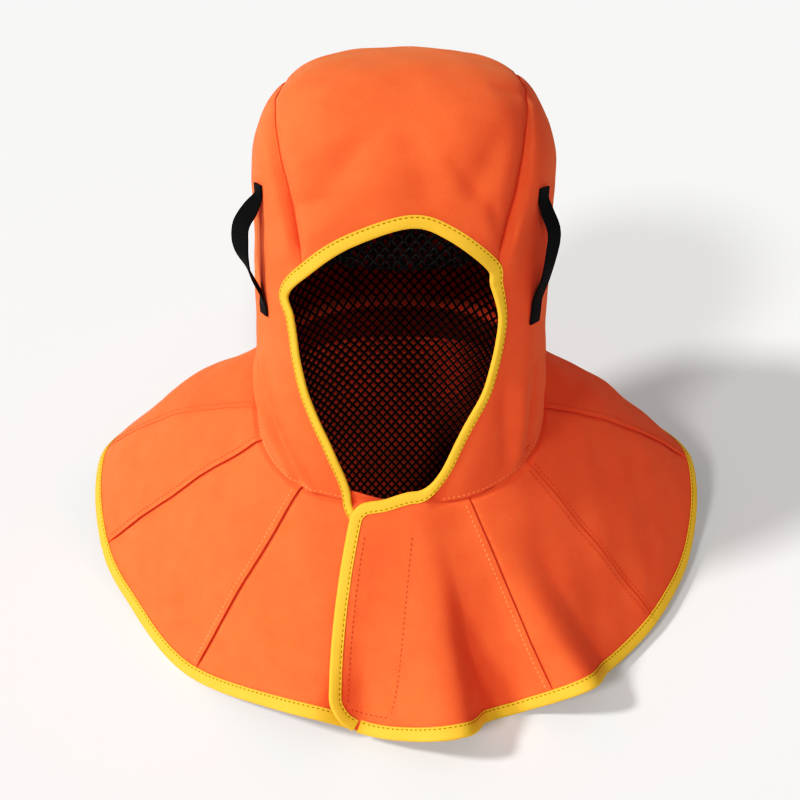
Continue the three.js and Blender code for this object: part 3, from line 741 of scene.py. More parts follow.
def cape_relief(neck_angle, row, gore):
    """Height of the sewn cape above the plain one. A gore, given by its seams, keeps its own side of each."""
    neck_angle, row = both(neck_angle, row)
    per_degree = cape_degree(neck_angle, row)
    comes, goes = (step_between(row, *rows) for rows in RIPPLE_ROWS)
    height = ripple(cape_point(neck_angle, row)) * comes * (1 - goes) - neck_tuck(row)
    ends = 1 - SEAM_END["loss"] * step_between(row, *SEAM_END["rows"])
    for seam in rows_of(CAPE_SEAMS):
        beside = (neck_angle - seam["angle"]) * per_degree
        side = np.sign(beside)
        if seam["angle"] in gore:
            side = 1 if seam["angle"] == gore[0] else -1
        rise = SEAM_STEP * min(seam["dip"], 1) * bell(beside, SEAM_RISE_WIDTH)
        dip = -seam["dip"] * bell(np.where(beside * side < 0, 0, beside), SEAM_DIP_WIDTH)
        height += np.where(side * seam["top"] > 0, rise, dip) * ends
    return height


def cape_surface(neck_angle, row, gore=()):
    relief = cape_relief(neck_angle, row, gore)
    return cape_point(neck_angle, row) + cape_normal(neck_angle, row) * relief[..., None]


def flap_surface(neck_angle, row, gore=()):
    """The overlapping front: the cape, lifted off the front under it, with no tuck where its top is free."""
    lift = FLAP_LIFT * (1 - step_between(neck_angle, *FLAP_BLEND))
    lift = lift + neck_tuck(row) * (1 - step_between(neck_angle, *FLAP_RAISE["fall"]))
    return cape_surface(neck_angle, row, gore) + cape_normal(neck_angle, row) * lift[..., None]


# Meshes


def new_piece(name, points, faces, material, uv=None, smooth_angle=40):
    """A mesh from points in the neck's frame, in millimetres, with its faces turned outwards."""
    mesh = bpy.data.meshes.new(name)
    mesh.from_pydata(((points.reshape(-1, 3) + STAND) * MM).tolist(), [], faces)
    if uv is not None:
        layer = mesh.uv_layers.new(name="weave")
        corners = np.empty(len(mesh.loops), int)
        mesh.loops.foreach_get("vertex_index", corners)
        layer.data.foreach_set("uv", (uv.reshape(-1, 2)[corners] * MM).ravel())
    mesh.materials.append(material)
    mesh.validate()
    piece = bpy.data.objects.new(name, mesh)
    bpy.context.scene.collection.objects.link(piece)
    bpy.ops.object.select_all(action="DESELECT")
    piece.select_set(True)
    bpy.context.view_layer.objects.active = piece
    bpy.ops.object.mode_set(mode="EDIT")
    bpy.ops.mesh.select_all(action="SELECT")
    bpy.ops.mesh.remove_doubles(threshold=1e-6)
    bpy.ops.mesh.normals_make_consistent(inside=False)
    bpy.ops.object.mode_set(mode="OBJECT")
    bpy.ops.object.shade_smooth_by_angle(angle=math.radians(smooth_angle))
    return piece


def fitted(piece, slot, *nodes):
    """Puts a piece on the part: it rides on its body and stands for its nodes, which it hides. The slot is
    not used.
    """
    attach(piece, "root")
    if nodes:
        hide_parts(*nodes)


def weave_places(grid):
    """Places on the flat cloth, in millimetres, of a grid of its points."""
    across = np.zeros(grid.shape[:2])
    across[:, 1:] = np.cumsum(lengths(np.diff(grid, axis=1)), axis=1)
    across -= across.mean(axis=1, keepdims=True)
    along = np.zeros(grid.shape[:2])
    along[1:] = np.cumsum(lengths(np.diff(grid, axis=0)), axis=0)
    return np.stack((across, along), axis=-1)


def grid_faces(index, closed=False):
    """Faces between the neighbours in a grid of point numbers, closed round its rows if asked."""
    after = np.roll(index, -1, axis=1)
    quads = np.stack((index[:-1], after[:-1], after[1:], index[1:]), axis=-1)
    return (quads if closed else quads[:, :-1]).reshape(-1, 4).tolist()


def sew_cloth(node, outer, normals, wall):
    """A sheet of cotton from the grid of its outer face, with its real thickness, in place of a node."""
    front = np.arange(outer[..., 0].size).reshape(outer.shape[:2])
    back = front + front.size
    faces = grid_faces(front) + grid_faces(back[:, ::-1])
    for edge in (np.s_[0, :], np.s_[:, -1], np.s_[-1, ::-1], np.s_[::-1, 0]):
        faces += grid_faces(np.stack((back[edge], front[edge])))
    uv = weave_places(outer)
    points = np.stack((outer, outer - normals * wall))
    piece = new_piece(node + "_cloth", points, faces, finish("orange_cotton"), np.stack((uv, uv)))
    fitted(piece, "orange_cotton", node)


def swept(name, frames, section, material, lowest=-np.inf):
    """A strip with a closed section, swept along frames. Over the cloth it takes its share of the width."""
    point, normal, inwards, share = frames
    over, out = section.T
    over = np.where(over > 0, over * share, over + 0 * share)
    grid = point[:, None] + inwards[:, None] * over[..., None] + normal[:, None] * out[None, :, None]
    grid[..., 2] = np.maximum(grid[..., 2], lowest)
    index = np.arange(grid[..., 0].size).reshape(grid.shape[:2])
    faces = grid_faces(index, closed=True) + [index[0].tolist(), index[-1].tolist()]
    uv = np.stack(np.meshgrid(along_line(section), along_line(point)), axis=-1)
    return new_piece(name, grid, faces, material, uv)


def respaced(columns, spacing):
    """Points and directions along a line, spread evenly."""
    along = along_line(columns[0])
    places = np.linspace(0, along[-1], max(int(along[-1] / spacing), 2) + 1)
    return [read_at(places, along, column) for column in columns]


def evened(frames, spacing, reach):
    """Frames spread evenly along their line, with directions that are averaged over their neighbours."""
    point, *directions, share = respaced(frames, spacing)
    found = []
    for direction in directions:
        padded = np.pad(direction, ((reach, reach), (0, 0)), mode="edge")
        found.append(unit(sum(padded[k : k + len(point)] for k in range(2 * reach + 1))))
    return [point, *found, share]


# One stitch: its ring of four corners, how far its two rings lie in from its ends, and how deep those sink
STITCH_RING = np.array(((1, 0), (0, 0.8), (-1, 0), (0, -0.8)))
STITCH_IN = 0.2
STITCH_SINK = 0.3
STITCH_FACES = np.array([(0, 1 + (k + 1) % 4, 1 + k) for k in range(4)])
STITCH_SIDES = np.array([(1 + k, 1 + (k + 1) % 4, 5 + (k + 1) % 4, 5 + k) for k in range(4)])
STITCH_ENDS = np.array([(5 + k, 5 + (k + 1) % 4, 9) for k in range(4)])


def repeated(faces, count, size):
    """Faces of one body, repeated for a number of bodies with the same points."""
    return (faces[None] + size * np.arange(count)[:, None, None]).reshape(-1, faces.shape[1]).tolist()


def sew_stitches(name, runs, thread, slot):
    """Thread showing on the cloth: one slim body for each stitch of some lines."""
    sizes = bpy.context.scene.hood_sizes
    length, pitch, width = (size / MM for size in (sizes.stitch_length, sizes.stitch_pitch, sizes.thread))
    bodies = []
    for point, normal in runs:
        along = along_line(point)
        middles = np.arange(pitch, along[-1] - pitch / 2, pitch)
        start = read_at(middles - length / 2, along, point)
        end = read_at(middles + length / 2, along, point)
        up = unit(read_at(middles, along, normal))
        side = unit(np.cross(up, end - start))
        ring = (side[:, None] * STITCH_RING[:, :1] + up[:, None] * STITCH_RING[:, 1:]) * width / 2
        near = between_ends((start, end), STITCH_IN)[:, None] + ring
        far = between_ends((start, end), 1 - STITCH_IN)[:, None] + ring
        sunk = up[:, None] * width * STITCH_SINK
        bodies.append(np.concatenate((start[:, None] - sunk, near, far, end[:, None] - sunk), axis=1))
    points = np.concatenate(bodies)
    faces = []
    for group in (STITCH_FACES, STITCH_SIDES, STITCH_ENDS):
        faces += repeated(group, *points.shape[:2])
    fitted(new_piece(name, points, faces, finish(thread), smooth_angle=60), slot)


# Edges that carry binding


def stepped(surface, u, v, way):
    """Places of a surface some way off in directions along it."""
    across, along = slopes(surface, u, v)
    aa, ab, bb, aw, bw = (
        (first * second).sum(-1)
        for first, second in ((across, across), (across, along), (along, along), (across, way), (along, way))
    )
    scale = aa * bb - ab * ab
    return u + (aw * bb - bw * ab) / scale, v + (bw * aa - aw * ab) / scale


def edge_frames(plain, surface, normal_at, u, v, share, side=1):
    """Points, normals, directions over the cloth and shares of the tape's width along an edge. Side 1 has
    the cloth on the left of the way."""
    u, v = both(u, v)
    point = surface(u, v)
    tangent = unit(np.gradient(point, axis=0))
    level = unit(np.cross(normal_at(u, v), tangent)) * side
    inwards = surface(*stepped(plain, u, v, level * TAPE_WIDTH)) - point
    inwards = unit(inwards - tangent * (inwards * tangent).sum(-1, keepdims=True))
    shares = np.broadcast_to(share, u.shape)[:, None]
    return [point, np.cross(tangent, inwards) * side, inwards, shares]


def joined(first, second, steps):
    """One run of frames from two, with a smooth bridge between them."""
    t = np.linspace(0, 1, steps + 2)[1:-1, None]
    start, end = first[0][-1], second[0][0]
    reach = lengths(end - start)
    leave = unit(start - first[0][-4]) * reach
    arrive = unit(second[0][3] - end) * reach
    blend = 3 * t**2 - 2 * t**3
    bridge = [between_ends((before[-1], after[0]), blend) for before, after in zip(first, second)]
    bridge[0] = bridge[0] + leave * (t**3 - 2 * t**2 + t) + arrive * (t**3 - t**2)
    return [np.concatenate(parts) for parts in zip(first, bridge, second)]


def face_frames():
    """The binding of the face opening and of the flap's top and free edge, in one run that starts under the
    flap."""
    angle, row = (np.linspace(*UNDER_FLAP[key]) for key in ("angle", "row"))
    under = edge_frames(cape_point, cape_surface, cape_normal, angle, row, TAPE_SHARE["cheek"])
    keep = OUTLINE_LEVEL > TAPE_FROM
    keep[BROW:] = OUTLINE_LEVEL[BROW:] > FLAP_TOP_FROM
    turn, level = OUTLINE_TURN[keep], OUTLINE_LEVEL[keep]
    share = between_ends((TAPE_SHARE["cheek"], TAPE_SHARE["brow"]), step_between(level, *BROW_TAPE))
    face = edge_frames(head_point, head_surface, head_normal, turn, level, share)
    rows = np.linspace(0, 1, EDGE_POINTS["flap"])
    top = np.linspace(FLAP_TOP_END, float(flap_edge(0)), EDGE_POINTS["flap_top"])[:-1]
    angle = np.concatenate((top, flap_edge(rows)))
    row = raised(angle, np.concatenate((np.zeros(len(top)), rows)))
    flap = edge_frames(cape_point, flap_surface, cape_normal, angle, row, TAPE_SHARE["flap"])
    return joined(joined(under, face, BRIDGE_STEPS["to_face"]), flap, BRIDGE_STEPS["to_flap"])


def hem_frames():
    """The binding of the hem, from under the flap round the left and the back to the flap's free edge."""
    left = np.linspace(FRONT_LEFT_TO, -180, EDGE_POINTS["hem_left"])[:-1]
    right = np.linspace(180, FRONT_RIGHT_TO, EDGE_POINTS["hem_right"])
    around = np.concatenate((left, right))
    over = np.linspace(FRONT_RIGHT_TO, float(flap_edge(1)) + CORNER_GAP, EDGE_POINTS["hem_front"])[1:]
    plain, lifted = (
        edge_frames(cape_point, surface, cape_normal, angle, 1.0, TAPE_SHARE["hem"], side=-1)
        for surface, angle in ((cape_surface, around), (flap_surface, over))
    )
    return [np.concatenate(parts) for parts in zip(plain, lifted)]


# Net bag

ROOF_MIDDLE, ROOF_BACKWARDS, ROOF_UPWARDS, ROOF_DEPTH, ROOF_WIDTH = head_ring(np.array(BAG["wall_to"]))


def wall_level(row):
    """The level of the head beside a row of the bag, on its way along the wall."""
    return between_ends((BAG["wall_from"], BAG["wall_to"]), np.clip(row - 1, 0, 1))


def behind_brow(point):
    """How far points lie behind the brow along the bag's roof."""
    return ROOF_DEPTH + (point - ROOF_MIDDLE) @ ROOF_BACKWARDS


def bag_point(turn, row):
    """A point of the bag: row 0 is its free edge, 1 and 2 the ends of its way along the wall, 3 the roof's
    middle."""
    turn, row = both(turn, row)
    ahead = (1 + np.cos(np.radians(turn))) / 2
    edge = vector(
        BAG_EDGE["half_width"] * np.sin(np.radians(turn)),
        between_ends((BAG_EDGE["back_y"], BAG_EDGE["front_y"]), ahead),
        between_ends((BAG_EDGE["back_z"], BAG_EDGE["front_z"]), ahead),
    )
    curtain = between_ends((edge, head_point(turn, BAG["wall_from"])), np.clip(row, 0, 1)[..., None])
    curtain[..., 1] += np.minimum(row, 0) * BAG_END_AHEAD * (1 - ahead) ** 2
    wall = head_point(turn, wall_level(row))
    roof = between_ends((wall, ROOF_MIDDLE), np.clip(row - 2, 0, 1)[..., None])
    return np.where((row <= 1)[..., None], curtain, roof)


def bag_normal(turn, row):
    turn, row = both(turn, row)
    free = normal_of(bag_point, turn, np.clip(row, 2 * LEVEL_STEP, 3 - 10 * LEVEL_STEP))
    on_wall = (row >= 1) & (row <= 2)
    return np.where(on_wall[..., None], head_normal(turn, wall_level(row)), free)


def roof_drop(point):
    """How far the roof of the bag hangs below its rim."""
    off = point - ROOF_MIDDLE
    back = behind_brow(point)
    roof = step_between(off @ ROOF_UPWARDS, *ROOF["below_rim"])
    inwards = np.maximum(1 - (1 - back / ROOF_DEPTH) ** 2 - (off[..., 0] / ROOF_WIDTH) ** 2, 0)
    fold = bell(back - ROOF["fold_back"], ROOF["fold_width"]) * ROOF["fold_drop"]
    off_wall = step_between(back, NET_INSET, ROOF["fold_back"])
    return roof * (inwards * ROOF["drop"] + fold * off_wall)


def net_point(turn, row):
    point = bag_point(turn, row) - bag_normal(turn, row) * NET_MIDDLE
    point[..., 2] -= roof_drop(point)
    return point


def net_lattice(cell):
    """Turns and rows of the net's knots, spaced by a cell's half width round the bag and down its back."""
    rows = np.linspace(*BAG["rows"])
    along = along_line(bag_point(BAG["back_turn"], rows))
    places = np.linspace(0, along[-1], int(along[-1] / (cell / 2)) + 1)
    girth = along_line(bag_point(np.linspace(-180, 180, BAG["girth_points"]), 1.0))[-1]
    columns = 2 * int(girth / cell)
    return np.linspace(-180, 180, columns + 1)[:-1], np.interp(places, along, rows)


def knots_of(columns, rows):
    """Columns and rows of the knots from which strands run on, on every second place of a lattice."""
    column, row = np.meshgrid(columns, np.arange(rows - 1), indexing="ij")
    knotted = (column + row) % 2 == 0
    return column[knotted], row[knotted]


def net_strands(cell):
    """Ends and normals of the strands between the bag's knots, apart from its fold behind the brow."""
    turns, rows = net_lattice(cell)
    column, row = knots_of(np.arange(len(turns)), len(rows))
    strands = []
    for way in (1, -1):
        start = turns[column], rows[row]
        end = turns[column] + way * 360 / len(turns), rows[row + 1]
        turn, place = ((first + second) / 2 for first, second in zip(start, end))
        spot = bag_point(turn, place)
        turned = (turn + 180) % 360 - 180
        level = wall_level(place)
        reach = np.where(turned < 0, opening_turn(level, -1), opening_turn(level, 1))
        in_fold = (np.abs(spot[:, 0]) < BROW_NET["half_width"]) & (behind_brow(spot) < BROW_NET["back"])
        in_front = (place < 1) & (np.abs(turned) < BAG_FREE_FRONT)
        kept = (np.abs(turned) > reach + BAG_BESIDE_FACE) & ~in_front & ~((place > 2) & in_fold)
        found = net_point(*start), net_point(*end), bag_normal(turn, place)
        strands.append([values[kept] for values in found])
    return [np.concatenate(parts) for parts in zip(*strands)]


def brow_net_strands(cell):
    """Ends and normals of the strands of the fold behind the brow, knotted evenly down its two leaves."""
    count = int(BROW_NET["half_width"] / (cell / 2))
    knots = []
    for x in np.arange(-count, count + 1) * cell / 2:
        wall = ROOF_DEPTH * (1 - (1 - abs(x / ROOF_WIDTH) ** RING_POWER) ** (1 / RING_POWER))
        back = np.linspace(wall + NET_MIDDLE, BROW_NET["back"] + BROW_NET["lap"], BROW_NET["points"])[:, None]
        line = ROOF_MIDDLE + np.array((x, 0, 0)) + ROOF_BACKWARDS * (back - ROOF_DEPTH)
        line = line - ROOF_UPWARDS * NET_MIDDLE
        line[:, 2] -= roof_drop(line)
        down = along_line(line)
        places = np.minimum(np.arange(0, BROW_NET["depth"], BROW_NET["cell_height"] / 2), down[-1])
        knots.append(read_at(places, down, line))
    knots = np.array(knots)
    column, row = knots_of(np.arange(1, len(knots) - 1), knots.shape[1])
    kept = lengths(knots[column, row + 1] - knots[column, row]) > BROW_NET["shortest"]
    column, row = column[kept], row[kept]
    strands = []
    for way in (1, -1):
        start, end = knots[column, row], knots[column + way, row + 1]
        strands.append((start, end, unit(np.cross((way, 0, 0), end - start))))
    return [np.concatenate(parts) for parts in zip(*strands)]


# Shader node groups and materials


def new_node(tree, kind, inputs, **settings):
    """A node with its settings. Each of its inputs takes a value, or the socket that feeds it."""
    node = tree.nodes.new(kind)
    for name, value in settings.items():
        setattr(node, name, value)
    fill_inputs(tree, node, inputs)
    return node


def fill_inputs(tree, node, inputs):
    for name, value in inputs.items():
        if isinstance(value, bpy.types.NodeSocket):
            tree.links.new(value, node.inputs[name])
        else:
            node.inputs[name].default_value = value


def maths(tree, operation, first, second=0):
    return new_node(tree, "ShaderNodeMath", {0: first, 1: second}, operation=operation).outputs[0]


def weighed(tree, first, first_share, second, second_share):
    """The sum of two values, each times its share."""
    parts = (maths(tree, "MULTIPLY", first, first_share), maths(tree, "MULTIPLY", second, second_share))
    return maths(tree, "ADD", *parts)


def new_group(name, inputs, outputs):
    """A shader node group with named sockets: its tree, the sockets at its start and the node at its end."""
    group = bpy.data.node_groups.new(name, "ShaderNodeTree")
    for direction, sockets in (("INPUT", inputs), ("OUTPUT", outputs)):
        for label, kind in sockets.items():
            group.interface.new_socket(name=label, in_out=direction, socket_type="NodeSocket" + kind)
    return group, group.nodes.new("NodeGroupInput").outputs, group.nodes.new("NodeGroupOutput")


def weave_group():
    """Twill threads that follow the cloth: their height."""
    inputs = {"Place": "Vector", "Threads per metre": "Float"}
    group, start, end = new_group("Twill weave", inputs, {"Height": "Float"})
    place = new_node(group, "ShaderNodeSeparateXYZ", {0: start["Place"]}).outputs
    turns = maths(group, "MULTIPLY", start["Threads per metre"], 2 * math.pi)
    slant = maths(group, "ADD", place[0], maths(group, "MULTIPLY", place[1], 0.5))
    warp, twill = (maths(group, "SINE", maths(group, "MULTIPLY", way, turns)) for way in (place[0], slant))
    fill_inputs(group, end, {"Height": weighed(group, warp, 0.4, twill, 0.6)})
    return group


def nap_group():
    """Uneven dye and brushed nap: a colour between two, and the height of the nap."""
    inputs = {"Place": "Vector", "Light": "Color", "Deep": "Color", "Grain per metre": "Float"}
    group, start, end = new_group("Dye and nap", inputs, {"Colour": "Color", "Height": "Float"})
    cloud, grain = (
        new_node(group, "ShaderNodeTexNoise", {"Vector": start["Place"], **sizes}).outputs[0]
        for sizes in ({"Scale": 55, "Detail": 4}, {"Scale": start["Grain per metre"], "Detail": 3})
    )
    share = weighed(group, cloud, 0.6, grain, 0.5)
    colours = {"Factor": share, "A": start["Light"], "B": start["Deep"]}
    mix = new_node(group, "ShaderNodeMix", colours, data_type="RGBA")
    fill_inputs(group, end, {"Colour": mix.outputs["Result"], "Height": grain})
    return group


def new_material(name, inputs):
    material = bpy.data.materials.new(name)
    material.use_nodes = True
    shader = material.node_tree.nodes["Principled BSDF"]
    fill_inputs(material.node_tree, shader, inputs)
    return material, material.node_tree, shader


def opaque(colour):
    return (*colour[:3], 1)


def add_nap(tree, light, deep, grain):
    """The dye and nap of a material, on the part's own coordinates."""
    solid = new_node(tree, "ShaderNodeTexCoord", {}).outputs["Object"]
    inputs = {"Place": solid, "Light": opaque(light), "Deep": opaque(deep), "Grain per metre": grain}
    return new_node(tree, "ShaderNodeGroup", inputs, node_tree=GROUPS["nap"]).outputs


def add_weave(tree, threads):
    """The height of a material's threads, and the places on its cloth's own map."""
    places = new_node(tree, "ShaderNodeUVMap", {}, uv_map="weave").outputs["UV"]
    inputs = {"Place": places, "Threads per metre": threads}
    return new_node(tree, "ShaderNodeGroup", inputs, node_tree=GROUPS["weave"]).outputs["Height"], places


def bump_of(tree, height, distance, strength, **before):
    inputs = {"Height": height, "Distance": distance, "Strength": strength, **before}
    return new_node(tree, "ShaderNodeBump", inputs).outputs["Normal"]


def woven_material(name, light, deep, threads, grain, nap_depth, shading):
    """Woven cloth: twill threads on the cloth's own map, with uneven dye and a brushed nap. Thin cloth lets
    light through."""
    cloth = {
        "Specular IOR Level": 0.25,
        "Sheen Roughness": 0.45,
        "Sheen Tint": (1, 0.6, 0.4, 1),
        "Subsurface Radius": (1, 0.3, 0.15),
        "Subsurface Scale": 0.004,
    }
    material, tree, shader = new_material(name, {**cloth, **shading})
    nap = add_nap(tree, light, deep, grain)
    fine = bump_of(tree, add_weave(tree, threads)[0], 0.00015, 0.5)
    normal = bump_of(tree, nap["Height"], nap_depth, 0.35, Normal=fine)
    fill_inputs(tree, shader, {"Base Color": nap["Colour"], "Normal": normal})
    return material


def plain_material(name, light, deep, roughness, specular):
    """Thread, net or other fine stuff with uneven colour."""
    material, tree, shader = new_material(name, {"Roughness": roughness, "Specular IOR Level": specular})
    nap = add_nap(tree, light, deep, 1500)
    normal = bump_of(tree, nap["Height"], 0.0003, 0.3)
    fill_inputs(tree, shader, {"Base Color": nap["Colour"], "Normal": normal})
    return material


def webbing_material(name, light, deep, rib_pitch):
    """Ribbed webbing: ribs across the strap on its own map, bumped, with painted highlight on their crests
    and painted shade in their grooves.
    """
    material, tree, shader = new_material(name, {"Roughness": 0.6, "Specular IOR Level": 0.25})
    weave, places = add_weave(tree, 900)
    along = new_node(tree, "ShaderNodeSeparateXYZ", {0: places}).outputs[1]
    rib = maths(tree, "SINE", maths(tree, "MULTIPLY", along, 2 * math.pi / rib_pitch))
    # The ribs' colour: lighter on their crests and darker in their grooves, a painted highlight and painted
    # shade that follow their bump.
    share = maths(tree, "ADD", maths(tree, "MULTIPLY", rib, 0.35), 0.5)
    colours = {"Factor": share, "A": opaque(deep), "B": opaque(light)}
    mix = new_node(tree, "ShaderNodeMix", colours, data_type="RGBA")
    fine = bump_of(tree, weave, 0.0002, 0.4)
    normal = bump_of(tree, rib, 0.0005, 0.8, Normal=fine)
    fill_inputs(tree, shader, {"Base Color": mix.outputs["Result"], "Normal": normal})
    return material


# Woven stuffs: threads and grain in each metre, depth of the nap in metres, and shading
COTTON = {
    "threads": 1400,
    "grain": 1300,
    "nap_depth": 0.0008,
    "shading": {"Roughness": 0.88, "Sheen Weight": 0.12, "Subsurface Weight": 0.4},
}
TAPE = {
    "threads": 1100,
    "grain": 900,
    "nap_depth": 0.0006,
    "shading": {"Roughness": 0.8, "Sheen Weight": 0.1},
}
RIB_PITCH = 0.0016
GROUPS = {}
FINISHES = {}


def make_finishes(colours):
    """Makes the node groups and materials of the hood."""
    GROUPS.update(weave=weave_group(), nap=nap_group())
    orange, deep_orange = colours.orange, colours.deep_orange
    yellow, deep_yellow = colours.yellow, colours.deep_yellow
    FINISHES["orange_cotton"] = woven_material("Orange cotton", orange, deep_orange, **COTTON)
    FINISHES["yellow_binding"] = woven_material("Yellow binding", yellow, deep_yellow, **TAPE)
    FINISHES["black_webbing"] = webbing_material("Black webbing", colours.webbing, colours.black, RIB_PITCH)
    FINISHES["black_net"] = plain_material("Black net", colours.net, colours.black, 0.4, 0.4)
    for thread, light, deep in (
        ("orange", colours.orange_thread, deep_orange),
        ("pale", colours.pale_thread, orange),
        ("yellow", colours.yellow_thread, colours.yellow_thread),
    ):
        FINISHES[thread + "_thread"] = plain_material(thread.capitalize() + " thread", light, deep, 0.6, 0.2)


def finish(name):
    """A material of the hood. All are made when one is first asked for."""
    if not FINISHES:
        make_finishes(bpy.context.scene.hood_colours)
    return FINISHES[name]


# Sizes and colours that a user would change


def colour_property(name, description, default):
    return bpy.props.FloatVectorProperty(
        name=name, description=description, default=default, size=3, min=0, max=1, subtype="COLOR"
    )


def length_property(name, description, default):
    return bpy.props.FloatProperty(name=name, description=description, default=default, min=0, unit="LENGTH")


class HoodColours(bpy.types.PropertyGroup):
    orange: colour_property("Orange", "Cotton in the light", (0.82, 0.172, 0.08))
    deep_orange: colour_property("Deep orange", "Cotton where the dye is deeper", (0.74, 0.132, 0.058))
    yellow: colour_property("Yellow", "Binding tape", (0.82, 0.49, 0.085))
    deep_yellow: colour_property("Deep yellow", "Binding tape where the dye is deeper", (0.74, 0.41, 0.062))
    # Black is the painted shade in the webbing's rib grooves, and the net's deeper dye.
    black: colour_property("Black", "Webbing and net in their deep places", (0.006, 0.006, 0.0065))
    # Webbing is the strap's colour, strongest on the rib crests as a painted highlight.
    webbing: colour_property("Webbing", "Webbing on its ribs", (0.02, 0.02, 0.0205))
    net: colour_property("Net", "Strands of the net", (0.02, 0.02, 0.021))
    orange_thread: colour_property("Orange thread", "Thread of the cotton's seams", (0.34, 0.05, 0.02))
    pale_thread: colour_property("Pale thread", "Thread of the neck and front seams", (0.95, 0.36, 0.19))
    yellow_thread: colour_property("Yellow thread", "Thread of the binding", (0.3, 0.13, 0.008))
    floor: colour_property("Floor", "The surface under the hood", (0.75, 0.75, 0.745))


class HoodSizes(bpy.types.PropertyGroup):
    cloth_step: length_property("Cloth step", "Spacing of the cloth's mesh", 0.0026)
    stitch_length: length_property("Stitch length", "Thread that shows at each stitch", 0.0026)
    stitch_pitch: length_property("Stitch pitch", "From one stitch to the next", 0.0042)
    thread: length_property("Thread", "Thickness of the sewing thread", 0.001)
    net_cell: length_property("Net cell", "Width of one diamond of the net", 0.0092)
    strand_width: length_property("Strand width", "Width of a strand of the net", 0.0015)
    strand_wall: length_property("Strand wall", "Thickness of a strand of the net", 0.001)


class HoodStage(bpy.types.PropertyGroup):
    camera_height: bpy.props.FloatProperty(
        name="Camera height",
        description="Angle of the camera above the floor",
        default=math.radians(40),
        subtype="ANGLE",
    )
    camera_distance: length_property("Camera distance", "From the camera to the middle of the view", 1.15)
    view_height: length_property("View height", "Middle of the view above the neck's own floor", 0.168)
    lens: bpy.props.FloatProperty(
        name="Lens", description="Focal length in millimetres", default=60.3, min=1
    )
    sky_strength: bpy.props.FloatProperty(
        name="Sky", description="Strength of the light from all round", default=0.27, min=0
    )


# Suns of the stage: strength, width, and the degrees of each round from the front and above the floor
SUNS = table(
    "strength width round height",
    (2.3, 8, -77, 44),
    (1.25, 9, -38, 38),
    (1.0, 8, 6, 46),
)
# The camera's tone: how it darkens the deep tones
TONE = table(
    "light shown",
    (0.03, 0.006),
    (0.06, 0.0165),
    (0.12, 0.055),
    (0.2, 0.15),
    (0.28, 0.27),
    (0.5, 0.5),
)
SENSOR_WIDTH = 36
FLOOR_SIZE = 12
FLOOR_BELOW = 0.0004


# Operators


def cloth_shares(distance):
    """Shares from 0 to 1 at the steps of the cloth's mesh over a distance in millimetres."""
    return np.linspace(0, 1, max(int(distance * MM / bpy.context.scene.hood_sizes.cloth_step), 4) + 1)


class HoodOperator:
    bl_options = {"REGISTER", "UNDO"}


class HOOD_OT_head_panels(HoodOperator, bpy.types.Operator):
    """Sews the crown panel and the two side panels of the head"""

    bl_idname = "hood.head_panels"
    bl_label = "Head panels"

    def execute(self, context):
        self.sew_side("side_panel_left", -1)
        self.sew_side("side_panel_right", 1)
        self.sew_crown()
        return {"FINISHED"}

    def sew_side(self, node, side):
        level = (1 - (1 - cloth_shares(SIDE_MESH[0])) ** SIDE_CROWDING) * seam_top(side)
        front = np.maximum(opening_turn(level, side), crown_turn(side, level, False))
        if side > 0:
            front = between_ends((FLAP_TOP_END, front), step_between(level, 0, FLAP_TOP_FROM))
        back = crown_turn(side, level, True)
        turn = side * between_ends((front[:, None], back[:, None]), cloth_shares(SIDE_MESH[1]))
        self.sew_panel(node, turn, level[:, None], ["cape_left_side", "cape_right_side"])

    def sew_crown(self):
        steps = len(cloth_shares(CROWN_MESH[0])) - 1
        shares = between_ends((-CROWN_EDGE, CROWN_EDGE), cloth_shares(CROWN_MESH[1]))
        lines = np.stack([crown_line(share, steps) for share in shares], axis=1)
        sides = ["side_panel_left", "side_panel_right"]
        self.sew_panel("crown_panel", lines[..., 0], lines[..., 1], sides, tucked=True)

    @staticmethod
    def sew_panel(node, turn, level, rests_on, tucked=False):
        turn, level = both(turn, level)
        outer = head_surface(turn, level, tucked)
        sew_cloth(node, outer, head_normal(turn, level), CLOTH)


